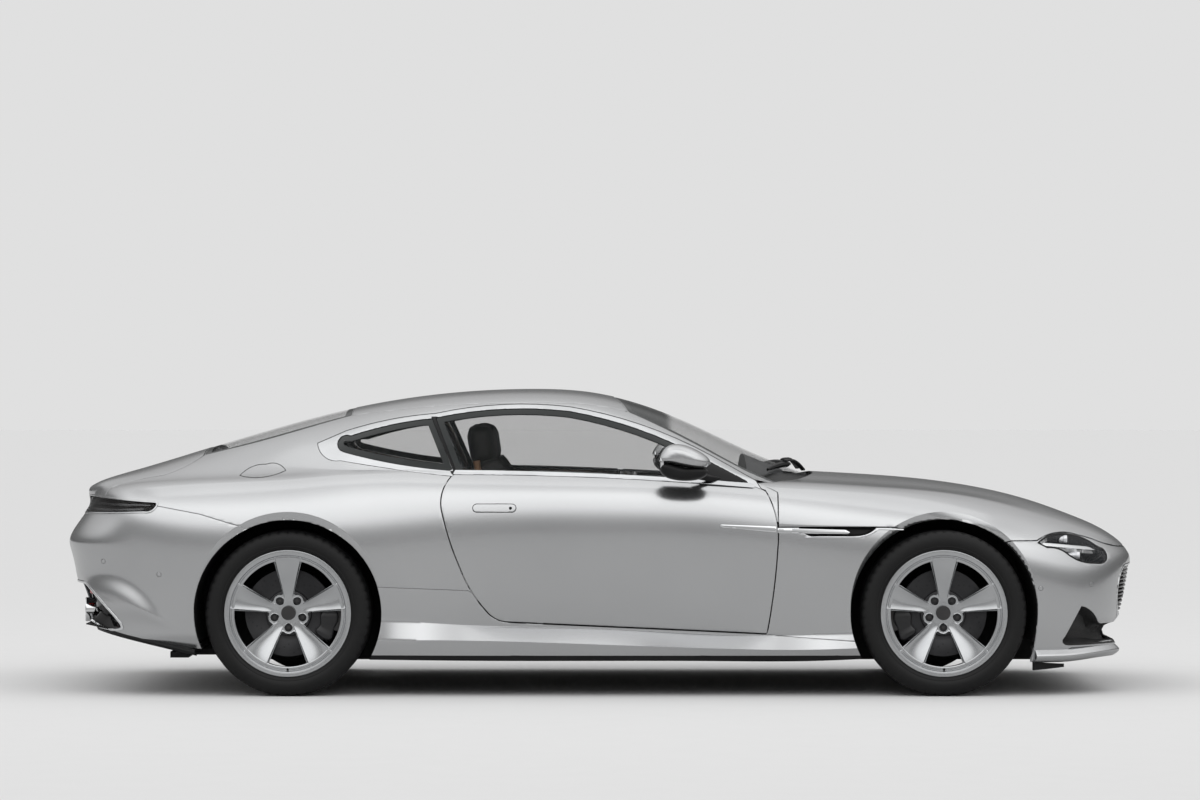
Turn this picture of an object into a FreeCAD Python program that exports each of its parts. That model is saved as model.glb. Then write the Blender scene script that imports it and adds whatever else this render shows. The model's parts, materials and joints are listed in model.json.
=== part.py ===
"""A two-door grand touring coupe, built as an assembly of its real pieces.

Row frame: millimetres, +X to the nose, +Y to the car's left, +Z up. The origin lies on the
ground under the middle of the car's bounding box. Every size that can be set by itself is a
cell of the spreadsheet "dims". The bodywork is shaped by a short table of cross-sections, whose
columns are named, and each panel is cut from shells lofted through those sections.
"""

import FreeCAD, Part

import math
import os

from FreeCAD import Rotation, Vector

DIMENSIONS = [
    # alias, value in mm or degrees, what it is
    ("overall_length", 4690, "bumper to bumper"),
    ("overall_width", 1940, "over the rear haunches, without mirrors"),
    ("overall_height", 1315, "ground to roof crown"),
    ("wheelbase", 2805, "front axle to rear axle"),
    ("front_overhang", 883, "nose to front axle"),
    ("track", 1620, "between the centre planes of two wheels on an axle"),
    ("tyre_radius", 354, "tyre outer radius"),
    ("tyre_width", 275, "tyre section width"),
    ("rim_radius", 254, "bead seat radius"),
    ("rim_width", 244, "over the rim flanges"),
    ("rim_wall", 12, "thickness of the rim barrel"),
    ("flange_height", 18, "rim flange above the bead seat"),
    ("disc_radius", 195, "brake disc"),
    ("disc_thickness", 28, "brake disc"),
    ("spindle_radius", 30, "stub axle"),
    ("arch_gap", 46, "tyre to wheel arch"),
    ("liner_thickness", 6, "wheel arch liner"),
    ("tub_gap", 47, "wheel arch to boot tub"),
    ("panel_gap", 6, "shut line between panels"),
    ("fit_gap", 0.3, "between pieces that seat on each other"),
    ("running_gap", 0.05, "radial, spindle in hub"),
    ("skin", 28, "thickness of the outer panels"),
    ("door_thickness", 95, "door, outer skin to trim"),
    ("roof_thickness", 32, "roof, skin to headlining"),
    ("glass", 6, "window panes"),
    ("sill_width", 250, "sill beam, outside to inside"),
    ("floor_height", 150, "underside of the floor"),
    ("floor_thickness", 26, "floor sandwich"),
    ("steer_offset", 30, "steering axis inboard of the wheel's centre plane"),
    ("engine_size", 540, "length and height of the engine block"),
    ("engine_width", 560, "engine block"),
    ("console_width", 210, "centre console"),
    ("wall", 20, "inner walls, bulkhead and boot tub"),
    ("pipe_radius", 52, "exhaust tips, outside"),
    ("pipe_wall", 6, "exhaust tips"),
    ("arm_offset", 150, "wishbones above and below the axle"),
    ("arm_width", 52, "wishbone"),
    ("arm_depth", 30, "wishbone"),
    ("knuckle_width", 64, "upright"),
    ("knuckle_depth", 40, "upright"),
    ("mirror_reach", 75, "door mirror beyond the widest bodywork"),
]

# Nominal places that the section table was drawn for; mapping() carries them to the set sizes.
NOMINAL_TAIL, NOMINAL_REAR_AXLE, NOMINAL_FRONT_AXLE, NOMINAL_NOSE = -2345, -1343, 1462, 2345
NOMINAL_WIDTH, NOMINAL_HEIGHT = 1940, 1315

# Lower body, one row per cross-section: half width y and height z of each line along the side.
SIDE_COLUMNS = ("x", "belt", "shoulder", "waist", "flank", "ledge", "rocker", "sill")
SIDE = [
    (-2345, (770, 800), (860, 760), (930, 690), (940, 630), (930, 590), (910, 560), (890, 540)),
    (-2255, (770, 856), (862, 810), (945, 718), (955, 590), (940, 470), (920, 395), (900, 345)),
    (-2150, (770, 895), (865, 855), (955, 740), (965, 550), (950, 390), (930, 295), (905, 240)),
    (-1850, (765, 932), (870, 895), (975, 740), (980, 540), (955, 370), (935, 260), (905, 205)),
    (-1343, (775, 958), (880, 922), (984, 745), (976, 520), (945, 350), (930, 225), (905, 165)),
    (-1000, (792, 980), (885, 928), (966, 745), (958, 510), (922, 330), (925, 235), (905, 155)),
    (-650, (815, 959), (893, 912), (953, 735), (935, 490), (893, 306), (943, 240), (922, 152)),
    (0, (835, 937), (905, 892), (948, 715), (922, 470), (878, 286), (945, 222), (925, 151)),
    (500, (833, 917), (903, 868), (946, 700), (918, 465), (874, 262), (943, 205), (923, 150)),
    (900, (818, 893), (898, 835), (950, 690), (932, 460), (905, 260), (938, 200), (915, 150)),
    (1462, (800, 846), (894, 796), (978, 690), (972, 460), (945, 290), (935, 215), (905, 165)),
    (1862, (775, 752), (872, 705), (958, 610), (958, 430), (935, 285), (915, 200), (885, 140)),
    (2150, (740, 664), (845, 622), (935, 540), (945, 400), (925, 290), (900, 215), (870, 160)),
    (2260, (740, 622), (842, 600), (925, 545), (940, 440), (925, 345), (900, 290), (870, 255)),
    (2345, (740, 600), (840, 594), (910, 580), (930, 560), (920, 535), (900, 510), (870, 480)),
]

# Bonnet, one row per cross-section: centre height, then three lines out to the wing's crown.
BONNET_COLUMNS = ("x", "centre", "ridge", "valley", "crown")
BONNET = [
    (500, 966, (330, 962), (560, 938), (715, 925)),
    (900, 950, (330, 945), (560, 915), (715, 912)),
    (1180, 935, (330, 930), (560, 899), (713, 895)),
    (1462, 911, (328, 906), (555, 874), (705, 872)),
    (1700, 874, (320, 870), (545, 840), (692, 829)),
    (1900, 824, (310, 821), (530, 795), (675, 772)),
    (2100, 752, (300, 750), (510, 735), (655, 710)),
    (2250, 679, (295, 678), (500, 668), (645, 650)),
    (2345, 607, (290, 606), (490, 603), (640, 600)),
]

# Cabin and tail, one row per cross-section: centre height, then three lines out to the rail.
CABIN_COLUMNS = ("x", "centre", "roof", "edge", "rail")
CABIN = [
    (-2345, 872, (330, 871), (520, 866), (660, 848)),
    (-2250, 903, (330, 902), (520, 899), (660, 890)),
    (-2050, 962, (320, 961), (500, 954), (640, 938)),
    (-1800, 1040, (300, 1036), (470, 1018), (598, 988)),
    (-1500, 1132, (275, 1125), (440, 1098), (565, 1040)),
    (-1150, 1225, (275, 1217), (450, 1185), (575, 1120)),
    (-721, 1296, (285, 1289), (470, 1266), (597, 1212)),
    (-300, 1318, (290, 1312), (485, 1291), (612, 1243)),
    (-60, 1305, (290, 1298), (485, 1276), (617, 1229)),
    (165, 1254, (290, 1246), (485, 1222), (640, 1160)),
    (420, 1154, (300, 1146), (510, 1112), (695, 1050)),
    (640, 1050, (320, 1042), (560, 1000), (760, 935)),
    (950, 925, (350, 915), (600, 880), (780, 860)),
]

CABIN_STATIONS = (-2345, -2322, -2275, -2170, -2000, -1780, -1550, -1343, -1100, -800, -400,
                  0, 300, 600, 900)
BONNET_STATIONS = (520, 800, 1130, 1462, 1750, 1950, 2100, 2200, 2275, 2322, 2345)


def make_sheet(document):
    """The spreadsheet of driving dimensions, and the same values as a dictionary."""
    sheet = document.addObject("Spreadsheet::Sheet", "dims")
    for line, (alias, value, meaning) in enumerate(DIMENSIONS, start=1):
        sheet.set(f"A{line}", alias)
        sheet.set(f"B{line}", str(value))
        sheet.set(f"C{line}", meaning)
        sheet.setAlias(f"B{line}", alias)
    document.recompute()
    return {alias: float(sheet.get(alias)) for alias, _, _ in DIMENSIONS}


def spline(xs, ys):
    """A natural cubic spline through the points, as a function."""
    count = len(xs)
    steps = [xs[i + 1] - xs[i] for i in range(count - 1)]
    lower, bends = [0.0] * count, [0.0] * count
    for i in range(1, count - 1):
        pivot = 2 * (xs[i + 1] - xs[i - 1]) - steps[i - 1] * lower[i - 1]
        lower[i] = steps[i] / pivot
        slope_change = (ys[i + 1] - ys[i]) / steps[i] - (ys[i] - ys[i - 1]) / steps[i - 1]
        bends[i] = (6 * slope_change - steps[i - 1] * bends[i - 1]) / pivot
    for i in range(count - 2, 0, -1):
        bends[i] -= lower[i] * bends[i + 1]

    def value(x):
        i = min(max(sum(x >= knot for knot in xs) - 1, 0), count - 2)
        left, right, step = x - xs[i], xs[i + 1] - x, steps[i]
        ends = ys[i] * right + ys[i + 1] * left
        bend = bends[i] * right * (right**2 - step**2) + bends[i + 1] * left * (left**2 - step**2)
        return (ends + bend / 6) / step

    return value


def row_lines(table):
    """One (y, z) pair of splines for each column of a section table, along x."""
    xs = [row[0] for row in table]
    lines = []
    for column in range(1, len(table[0])):
        cells = [row[column] if isinstance(row[column], tuple) else (0, row[column]) for row in table]
        lines.append([spline(xs, [cell[axis] for cell in cells]) for axis in (0, 1)])
    return lines


SIDE_LINES, BONNET_LINES, CABIN_LINES = row_lines(SIDE), row_lines(BONNET), row_lines(CABIN)
GLASS_BULGE = 14  # how far the side glass stands outside its chord, half way up


def fade(x, start, end):
    """0 before start, 1 after end, and smooth between."""
    t = min(max((x - start) / (end - start), 0.0), 1.0)
    return t * t * (3 - 2 * t)


def closing(x):
    """How much of its width, and of its height about a middle height, a section keeps at x."""
    nose, tail = (x - 1600) / 752, (-x - 1500) / 852
    width = (1 - max(nose, 0) ** 3) ** (1 / 2.4) if nose > 0 else 1.0
    width = (1 - max(tail, 0) ** 3) ** (1 / 4) if tail > 0 else width
    tip = max((abs(x) - 2280) / 72, 0)
    if x > 0:
        return width, (1 - tip**2.5) ** 0.5, 545
    return width, 1 - 0.1 * tip**3, 640


def controls(x, upper):
    """Control points (y, z) of the section at x, from the top centre to under the sill, and
    how sharply the section bends at each, from 0, smooth, to 1, a crease."""
    top = [(line[0](x), line[1](x)) for line in upper]
    side = [(line[0](x), line[1](x)) for line in SIDE_LINES]
    bulge = GLASS_BULGE * (1 - fade(abs(x + 250), 850, 1100)) if upper is CABIN_LINES else 0
    rail, belt = top[-1], side[0]
    middle = ((rail[0] + belt[0]) / 2 + bulge, (rail[1] + belt[1]) / 2 + bulge * 0.7)
    points = top + [middle] + side
    belt_crease = fade(x, -1200, -1000) * (1 - fade(x, 600, 760)) if upper is CABIN_LINES else 0
    creases = [0, 0, 0, 0, 0, belt_crease, 0, 0, 0, 1, 1, 1]
    width, height, middle_z = closing(x)
    points = [(y * width, middle_z + (z - middle_z) * height) for y, z in points]
    return points + [(0, points[-1][1])], creases + [1]


def section(x, upper):
    """Points (y, z) on the section at x: a uniform cubic B-spline through the controls."""
    points, creases = controls(x, upper)
    found = []
    for i in range(len(points) - 1):
        start, end = points[i], points[i + 1]
        before = points[i - 1] if i else (-points[1][0], points[1][1])
        after = points[i + 2] if i + 2 < len(points) else end
        before_free = (2 * start[0] - end[0], 2 * start[1] - end[1])
        after_free = (2 * end[0] - start[0], 2 * end[1] - start[1])
        near, far = creases[i], creases[i + 1]
        before = tuple(b + (f - b) * near for b, f in zip(before, before_free))
        after = tuple(a + (f - a) * far for a, f in zip(after, after_free))
        for t in (0.0, 0.5) if near + far < 2 else (0.0,):
            weights = ((1 - t) ** 3 / 6, (3 * t**3 - 6 * t**2 + 4) / 6,
                       (-3 * t**3 + 3 * t**2 + 3 * t + 1) / 6, t**3 / 6)
            found.append(tuple(sum(w * p[axis] for w, p in zip(weights, (before, start, end, after)))
                               for axis in (0, 1)))
    found[0] = (0.0, found[0][1])
    return found + [(0.0, points[-1][1])]


def inset(points, depth):
    """The section's points moved inwards by depth, square to the outline."""
    moved = []
    for i, (y, z) in enumerate(points):
        before, after = points[max(i - 1, 0)], points[min(i + 1, len(points) - 1)]
        dy, dz = after[0] - before[0], after[1] - before[1]
        length = math.hypot(dy, dz)
        y, z = y + dz / length * depth, z - dy / length * depth
        moved.append((0.0 if i in (0, len(points) - 1) else max(y, 1.0), z))
    return moved


def along(nominal):
    """The expression for a nominal place along x."""
    front = "(dims.overall_length / 2 - dims.front_overhang)"
    rear = f"({front} - dims.wheelbase)"
    if nominal > NOMINAL_FRONT_AXLE:
        share = (nominal - NOMINAL_FRONT_AXLE) / (NOMINAL_NOSE - NOMINAL_FRONT_AXLE)
        return f"({front} + {share} * dims.front_overhang)"
    if nominal >= NOMINAL_REAR_AXLE:
        share = (nominal - NOMINAL_REAR_AXLE) / (NOMINAL_FRONT_AXLE - NOMINAL_REAR_AXLE)
        return f"({rear} + {share} * dims.wheelbase)"
    share = (NOMINAL_REAR_AXLE - nominal) / (NOMINAL_REAR_AXLE - NOMINAL_TAIL)
    return f"({rear} - {share} * ({rear} + dims.overall_length / 2))"


def across(nominal):
    """The expression for a nominal place along y."""
    return f"({nominal} * dims.overall_width / {NOMINAL_WIDTH})"


def above(nominal):
    """The expression for a nominal height."""
    return f"({nominal} * dims.overall_height / {NOMINAL_HEIGHT})"


FLOOR_TOP = "(dims.floor_height + dims.floor_thickness + dims.fit_gap)"


class Shape:
    """The set sizes, and the maps from the nominal section table to them."""

    def __init__(self, sizes):
        self.size = sizes
        self.nose = sizes["overall_length"] / 2
        self.front_axle = self.nose - sizes["front_overhang"]
        self.rear_axle = self.front_axle - sizes["wheelbase"]
        self.anchors = [(NOMINAL_TAIL, -self.nose), (NOMINAL_REAR_AXLE, self.rear_axle),
                        (NOMINAL_FRONT_AXLE, self.front_axle), (NOMINAL_NOSE, self.nose)]
        self.axle_height = sizes["tyre_radius"]
        self.arch_radius = sizes["tyre_radius"] + sizes["arch_gap"]
        self.tub_front = self.rear_axle - self.arch_radius - sizes["tub_gap"]
        self.half_track = sizes["track"] / 2

    def x(self, nominal):
        for (n0, a0), (n1, a1) in zip(self.anchors, self.anchors[1:]):
            if nominal <= n1 or n1 == NOMINAL_NOSE:
                return a0 + (nominal - n0) * (a1 - a0) / (n1 - n0)

    def y(self, nominal):
        return nominal * self.size["overall_width"] / NOMINAL_WIDTH

    def z(self, nominal):
        return nominal * self.size["overall_height"] / NOMINAL_HEIGHT

    def point(self, x, y, z):
        return Vector(self.x(x), self.y(y), self.z(z))


def loft(shape, stations, upper, depth):
    """A closed solid through the sections at the stations, inset by depth all round."""
    wires = []
    for x in stations:
        half = inset(section(x, upper), depth)
        ring = [(-y, z) for y, z in half] + [(y, z) for y, z in reversed(half[1:-1])]
        corners = [shape.point(x, y, z) for y, z in ring]
        wires.append(Part.makePolygon(corners + corners[:1]))
    return Part.makeLoft(wires, True, False, False, 3)


ARC_PIECES = 5  # straight pieces that stand for an arc in a panel's outline


def arc_points(start, middle, end):
    """Points after start on the arc through the three points."""
    (ax, ay), (bx, by), (cx, cy) = start, middle, end
    twice_area = 2 * (ax * (by - cy) + bx * (cy - ay) + cx * (ay - by))
    squares = [x * x + y * y for x, y in (start, middle, end)]
    x = (squares[0] * (by - cy) + squares[1] * (cy - ay) + squares[2] * (ay - by)) / twice_area
    y = (squares[0] * (cx - bx) + squares[1] * (ax - cx) + squares[2] * (bx - ax)) / twice_area
    radius = math.hypot(ax - x, ay - y)
    first = math.atan2(ay - y, ax - x)
    sweep = math.remainder(math.atan2(cy - y, cx - x) - first, math.tau)
    if (sweep > 0) != (twice_area > 0):
        sweep -= math.copysign(math.tau, sweep)
    angles = [first + sweep * i / ARC_PIECES for i in range(1, ARC_PIECES + 1)]
    return [(x + radius * math.cos(angle), y + radius * math.sin(angle)) for angle in angles]


def outline(place, start, steps):
    """Corners of a closed outline of straight steps and of arcs (on the way, end)."""
    corners = [place(start)]
    for step in steps:
        if isinstance(step[0], tuple):
            corners += arc_points(corners[-1], place(step[0]), place(step[1]))
        else:
            corners.append(place(step))
    if math.dist(corners[0], corners[-1]) < 1e-6:
        corners.pop()
    return corners


def grown(corners, distance):
    """The outline moved outwards by distance, its corners kept sharp."""
    if not distance:
        return corners
    count = len(corners)
    area = sum(corners[i - 1][0] * corners[i][1] - corners[i][0] * corners[i - 1][1]
               for i in range(count))
    distance = math.copysign(distance, area * distance)
    moved = []
    for i, (x, y) in enumerate(corners):
        (ax, ay), (bx, by) = corners[i - 1], corners[(i + 1) % count]
        first, second = math.atan2(y - ay, x - ax), math.atan2(by - y, bx - x)
        half_turn = math.remainder(second - first, math.tau) / 2
        reach = distance / max(math.cos(half_turn), 0.3)
        out = first + half_turn - math.pi / 2
        moved.append((x + reach * math.cos(out), y + reach * math.sin(out)))
    return moved


def slab(corners, direction, low, high):
    """The outline's solid between low and high along an axis, 0 for x, 1 for y and 2 for z."""
    points = []
    for corner in corners:
        place = list(corner)
        place.insert(direction, low)
        points.append(Vector(*place))
    along = [0, 0, 0]
    along[direction] = high - low
    return Part.Face(Part.makePolygon(points + points[:1])).extrude(Vector(*along))


def box(x0, x1, y0, y1, z0, z1):
    return Part.makeBox(x1 - x0, y1 - y0, z1 - z0, Vector(x0, y0, z0))


def mirrored(shape):
    return shape.mirror(Vector(0, 0, 0), Vector(0, 1, 0))


def both_sides(right):
    return Part.makeCompound(right.Solids + mirrored(right).Solids)


def cylinder_y(radius, x, z, y0, y1):
    return Part.makeCylinder(radius, y1 - y0, Vector(x, y0, z), Vector(0, 1, 0))


# Where the panels meet: side outlines are (x, z) and plan outlines are (x, y), at the nominal
# places. A step in brackets within brackets is an arc: a point on the way, then its end.
DOOR = ((-628, 954), [((-675, 890), (-685, 800)), ((-655, 686), (-606, 553)),
                      ((-560, 455), (-491, 361)), ((-458, 333), (-414, 318)), (705, 267),
                      ((735, 470), (749, 634)), ((748, 735), (700, 877)), (623, 907),
                      ((0, 938), (-628, 954))])
DOOR_GLASS = ((-618, 940), [(-722, 1190), ((-430, 1228), (-139, 1218)), ((165, 1138), (450, 1010)),
                            (622, 918), (640, 880)])
QUARTER_GLASS = ((-640, 962), [(-738, 1187), ((-900, 1163), (-1093, 1112)),
                               ((-1148, 1080), (-1120, 1042)), ((-880, 990), (-640, 962))])
SILL = ((-1300, 100), [(-1300, 480), (-564, 450), ((-545, 425), (-491, 355)), (-414, 312),
                       (705, 261), (1400, 210), (1400, 100)])
HEADLAMP = ((1865, 661), [((1940, 688), (2033, 686)), (2126, 658), ((2190, 625), (2205, 580)),
                          (2180, 558), (2105, 567), (2012, 595), (1965, 622)])
BONNET_EDGE = ((500, 725), [(1462, 725), (1462, 667), (1862, 667), ((1940, 696), (2036, 693)),
                            (2130, 666), ((2205, 640), (2400, 630)), (2400, 1400), (500, 1400)])
BONNET_PLAN = ((932, 0), [((880, -480), (735, -765)), (640, -805), (756, -860), (756, -1100),
                          (2500, -1100), (2500, 1100), (756, 1100), (756, 860), (640, 805),
                          (735, 765), ((880, 480), (932, 0))])
WINDSCREEN = ((60, 0), [((75, -300), (118, -535)), (735, -742), (1100, -742), (1100, 742),
                        (735, 742), (118, 535), ((75, 300), (60, 0))])
ROOF = ((54, 0), [((69, -300), (112, -536)), ((-480, -560), (-1096, -420)), (-1096, 420),
                  ((-480, 560), (112, 536)), ((69, 300), (54, 0))])
REAR_WINDOW = ((-1102, 420), [(-1102, -420), (-1738, -480), (-1738, 480)])
BOOT_LID = ((-1745, 478), [(-1745, -478), ((-1800, -590), (-1900, -675)), (-2500, -675),
                           (-2500, 675), (-1900, 675), ((-1800, 590), (-1745, 478))])
REAR_BUMPER_EDGE = ((-1500, 690), [(-1500, 716), (-1580, 736), (-1717, 778), (-1900, 812),
                                   (-1900, 1500), (-2500, 1500), (-2500, 100), (-1500, 100)])
TAIL_LAMP = ((-1905, 826), [((-1920, 800), (-1960, 790)), (-2450, 772), (-2450, 846),
                            (-2200, 846)])
DOOR_BULGE = 948  # half width over the doors
DIFFUSER_TOP, BUMPER_TOP, LAMP_HALF_SPAN = 246, 850, 400
GRILLE = ((-520, 300), [((-600, 430), (-470, 560)), (470, 560), ((600, 430), (520, 300))])
SPLITTER_TOP = 203
PIPE_CENTRES, PIPE_HEIGHT = (560, 445), 345
HINGE_HEIGHTS = (400, 630)
SEAT_CENTRE = 370
STEERING_HUB, STEERING_SLOPE = (250, 370, 830), 24
FLANGE_THICKNESS = 8
HUB_BACK, SPINDLE_END = 50, 88  # outboard of the wheel's centre plane
TOWER_SPAN = (400, 459)  # wishbone towers, inner and outer half width
FAR = 3000  # past everything


class Model:
    """The document, with one named object for each sub-part."""

    def __init__(self):
        self.document = FreeCAD.newDocument("coupe")
        self.shape = Shape(make_sheet(self.document))
        self.size = self.shape.size
        self.nodes = []
        self.shells = {}

    def feature(self, node, solid):
        item = self.document.addObject("Part::Feature", node)
        item.Shape = solid
        item.Label = node
        self.nodes.append(item)

    def primitive(self, kind, name, **properties):
        """A Part primitive whose properties are expressions of the sheet's cells."""
        item = self.document.addObject(f"Part::{kind}", name)
        for key, expression in properties.items():
            item.setExpression(key.replace("_", "."), expression)
        return item

    def block(self, name, x, y, z):
        """A box between the two expressions given for each axis."""
        sizes = {"Length": x, "Width": y, "Height": z}
        properties = {key: f"{high} - ({low})" for key, (low, high) in sizes.items()}
        for axis, (low, _) in zip("xyz", (x, y, z)):
            properties[f"Placement_Base_{axis}"] = low
        return self.primitive("Box", name, **properties)

    def pipe(self, name, radius, x0, x1, y, z):
        """A cylinder along x between two expressions."""
        item = self.primitive("Cylinder", name, Radius=radius, Height=f"{x1} - ({x0})",
                              Placement_Base_x=x0, Placement_Base_y=y, Placement_Base_z=z)
        item.Placement.Rotation = Rotation(Vector(0, 1, 0), 90)
        return item

    def fused(self, name, items):
        """Several document objects as one, or side by side where they don't meet."""
        item = self.document.addObject("Part::MultiFuse", name)
        item.Shapes = items
        return item

    def cut(self, name, base, tool):
        """One document object less another."""
        item = self.document.addObject("Part::Cut", name)
        item.Base, item.Tool = base, tool
        return item

    def keep(self, item, node):
        """Name a document object as a sub-part."""
        item.Label = node
        self.nodes.append(item)

    def inside(self, which, depth):
        """The cabin or bonnet loft, inset by depth all round; the outer one at depth 0."""
        key = which, depth
        if key not in self.shells:
            stations, upper = ((CABIN_STATIONS, CABIN_LINES) if which == "cabin"
                               else (BONNET_STATIONS, BONNET_LINES))
            ends = [x for x in stations if abs(x) < NOMINAL_NOSE - depth - 5]
            if which == "cabin":
                ends.insert(0, depth - NOMINAL_NOSE)
            else:
                ends.append(NOMINAL_NOSE - depth)
            self.shells[key] = loft(self.shape, ends if depth > 0 else stations, upper, depth)
        return self.shells[key]

    def skin(self, which, outer, inner):
        """The layer of bodywork between two depths."""
        return self.inside(which, outer).cut(self.inside(which, inner))

    def side(self, drawing, grow=0.0):
        """The solid right through the car that has this side outline."""
        corners = outline(lambda p: (self.shape.x(p[0]), self.shape.z(p[1])), *drawing)
        return slab(grown(corners, grow), 1, -FAR, FAR)

    def plan(self, drawing, grow=0.0):
        """The solid right up through the car that has this plan outline."""
        corners = outline(lambda p: (self.shape.x(p[0]), self.shape.y(p[1])), *drawing)
        return slab(grown(corners, grow), 2, -FAR, FAR)

    def front(self, drawing, start, grow=0.0):
        """The solid forward of start that has this (y, z) outline."""
        corners = outline(lambda p: (self.shape.y(p[0]), self.shape.z(p[1])), *drawing)
        return slab(grown(corners, grow), 0, start, FAR)

    def arches(self, radius):
        """Cylinders right across the car at both axles."""
        height = self.shape.axle_height
        return [cylinder_y(radius, x, height, -FAR, FAR)
                for x in (self.shape.front_axle, self.shape.rear_axle)]

    def right_half(self):
        return box(-FAR, FAR, -FAR, 0, -FAR, FAR)


def cabin_panels(m):
    """Roof, window panes, body sides and the doors with their glass and mirrors."""
    size, shape = m.size, m.shape
    gap, fit = size["panel_gap"], size["fit_gap"]
    right = m.right_half()
    skin = m.skin("cabin", 0, size["skin"])
    roof_skin = m.skin("cabin", 0, size["roof_thickness"])
    pane = m.skin("cabin", 2, 2 + size["glass"])
    upper = box(-FAR, FAR, -FAR, FAR, shape.z(880), FAR)
    m.feature("roof_panel", roof_skin.common(m.plan(ROOF)).common(upper))
    bonnet_space = m.plan(BONNET_PLAN, gap).cut(m.inside("bonnet", size["skin"] + gap + 2))
    below_bonnet = m.inside("bonnet", -gap)
    windscreen = pane.common(m.plan(WINDSCREEN)).common(upper)
    m.feature("windscreen", windscreen.cut(below_bonnet))
    m.feature("rear_window", pane.common(m.plan(REAR_WINDOW)).common(upper))
    quarter = pane.common(m.side(QUARTER_GLASS)).common(right)
    m.feature("quarter_windows", both_sides(quarter))

    body_side = skin.common(box(-FAR, FAR, -FAR, -shape.y(200), shape.z(250), FAR))
    for cutter in (m.side(DOOR, gap), m.side(DOOR_GLASS, gap + 2), m.side(QUARTER_GLASS, fit),
                   m.plan(ROOF, fit), m.plan(WINDSCREEN, fit), m.plan(REAR_WINDOW, fit),
                   m.side(SILL, fit), m.side(REAR_BUMPER_EDGE, fit), m.plan(BONNET_PLAN, gap),
                   below_bonnet, m.arches(shape.arch_radius)[1], m.plan(BOOT_LID, gap),
                   box(shape.x(650), FAR, -FAR, FAR, -FAR, shape.z(880))):
        body_side = body_side.cut(cutter)
    m.feature("body_sides", both_sides(largest(body_side)))

    trim = -(shape.y(DOOR_BULGE) - size["door_thickness"])
    inward = slab([(-FAR, 0), (trim, 0), (trim, shape.z(700)), (trim + shape.y(100), shape.z(900)),
                   (trim + shape.y(100), FAR), (-FAR, FAR)], 0, -FAR, FAR)
    door_inner = m.inside("cabin", size["skin"] - 8).common(m.side(DOOR, -2 * gap)).common(inward)
    door = largest(skin.common(m.side(DOOR)).common(right).fuse(door_inner))
    glass = largest(pane.common(m.side(DOOR_GLASS)).common(right).cut(m.side(DOOR, fit)))
    mirror = door_mirror(m)
    for side, place in (("right", lambda solid: solid), ("left", mirrored)):
        m.feature(f"{side}_door", place(door))
        m.feature(f"{side}_door_glass", place(glass))
        m.feature(f"{side}_mirror", place(mirror))
    return bonnet_space


def largest(shape):
    return max(shape.Solids, key=lambda solid: solid.Volume)


def door_mirror(m):
    """The right door's mirror: a rounded housing on an arm from the top of the door."""
    shape, size = m.shape, m.size
    outer = -(size["overall_width"] / 2 + size["mirror_reach"])
    inner = -shape.y(880)
    back, front = shape.x(232), shape.x(440)
    low, high = shape.z(955), shape.z(1062)
    housing = box(back, front, outer, inner, low, high)
    housing = housing.makeFillet(30, housing.Edges)
    foot = box(shape.x(380), shape.x(530), inner - 40, -shape.y(780), shape.z(905), shape.z(985))
    return largest(housing.fuse(largest(foot.cut(m.inside("cabin", -size["fit_gap"])))))


def front_panels(m):
    """Bonnet, wings, front bumper with its grille and splitter, and headlamps."""
    size, shape = m.size, m.shape
    gap, fit = size["panel_gap"], size["fit_gap"]
    skin = m.skin("bonnet", 0, size["skin"])
    bonnet_side, bonnet_plan = m.side(BONNET_EDGE), m.plan(BONNET_PLAN)
    arch = m.arches(shape.arch_radius)[0]
    bonnet = skin.common(bonnet_side).common(bonnet_plan).cut(arch).cut(m.side(DOOR, gap))
    m.feature("bonnet", largest(bonnet))
    bonnet_edge = m.side(BONNET_EDGE, gap)
    fixed = skin.cut(bonnet_edge)
    front = box(shape.front_axle, FAR, -FAR, FAR, -FAR, FAR)
    door_cut = m.side(DOOR, gap)
    wing = fixed.cut(front).cut(door_cut).cut(m.side(SILL, fit)).cut(arch)
    wing = wing.common(box(shape.x(700), FAR, -FAR, -shape.y(500), shape.z(180), FAR))
    m.feature("front_fenders", both_sides(largest(wing)))
    lamp_place = m.right_half().cut(box(-FAR, FAR, -shape.y(480), FAR, -FAR, FAR))
    lamp = m.skin("bonnet", 0, 3 * size["skin"]).common(m.side(HEADLAMP)).common(lamp_place)
    m.feature("headlamps", both_sides(largest(lamp)))
    low = box(-FAR, FAR, -FAR, FAR, -FAR, shape.z(SPLITTER_TOP))
    bumper = fixed.common(front).cut(arch).cut(low).cut(m.side(HEADLAMP, fit))
    bumper = bumper.cut(m.front(GRILLE, shape.x(2000), fit))
    m.feature("front_bumper", largest(bumper))
    grille = m.skin("bonnet", 12, size["skin"]).common(m.front(GRILLE, shape.x(2000)))
    m.feature("grille", largest(grille))
    splitter = m.inside("bonnet", -8).common(
        box(shape.x(1900), FAR, -FAR, FAR, shape.z(168), shape.z(SPLITTER_TOP) - fit))
    splitter = splitter.cut(m.arches(shape.arch_radius + 8)[0])
    m.feature("front_splitter", largest(splitter))


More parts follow.
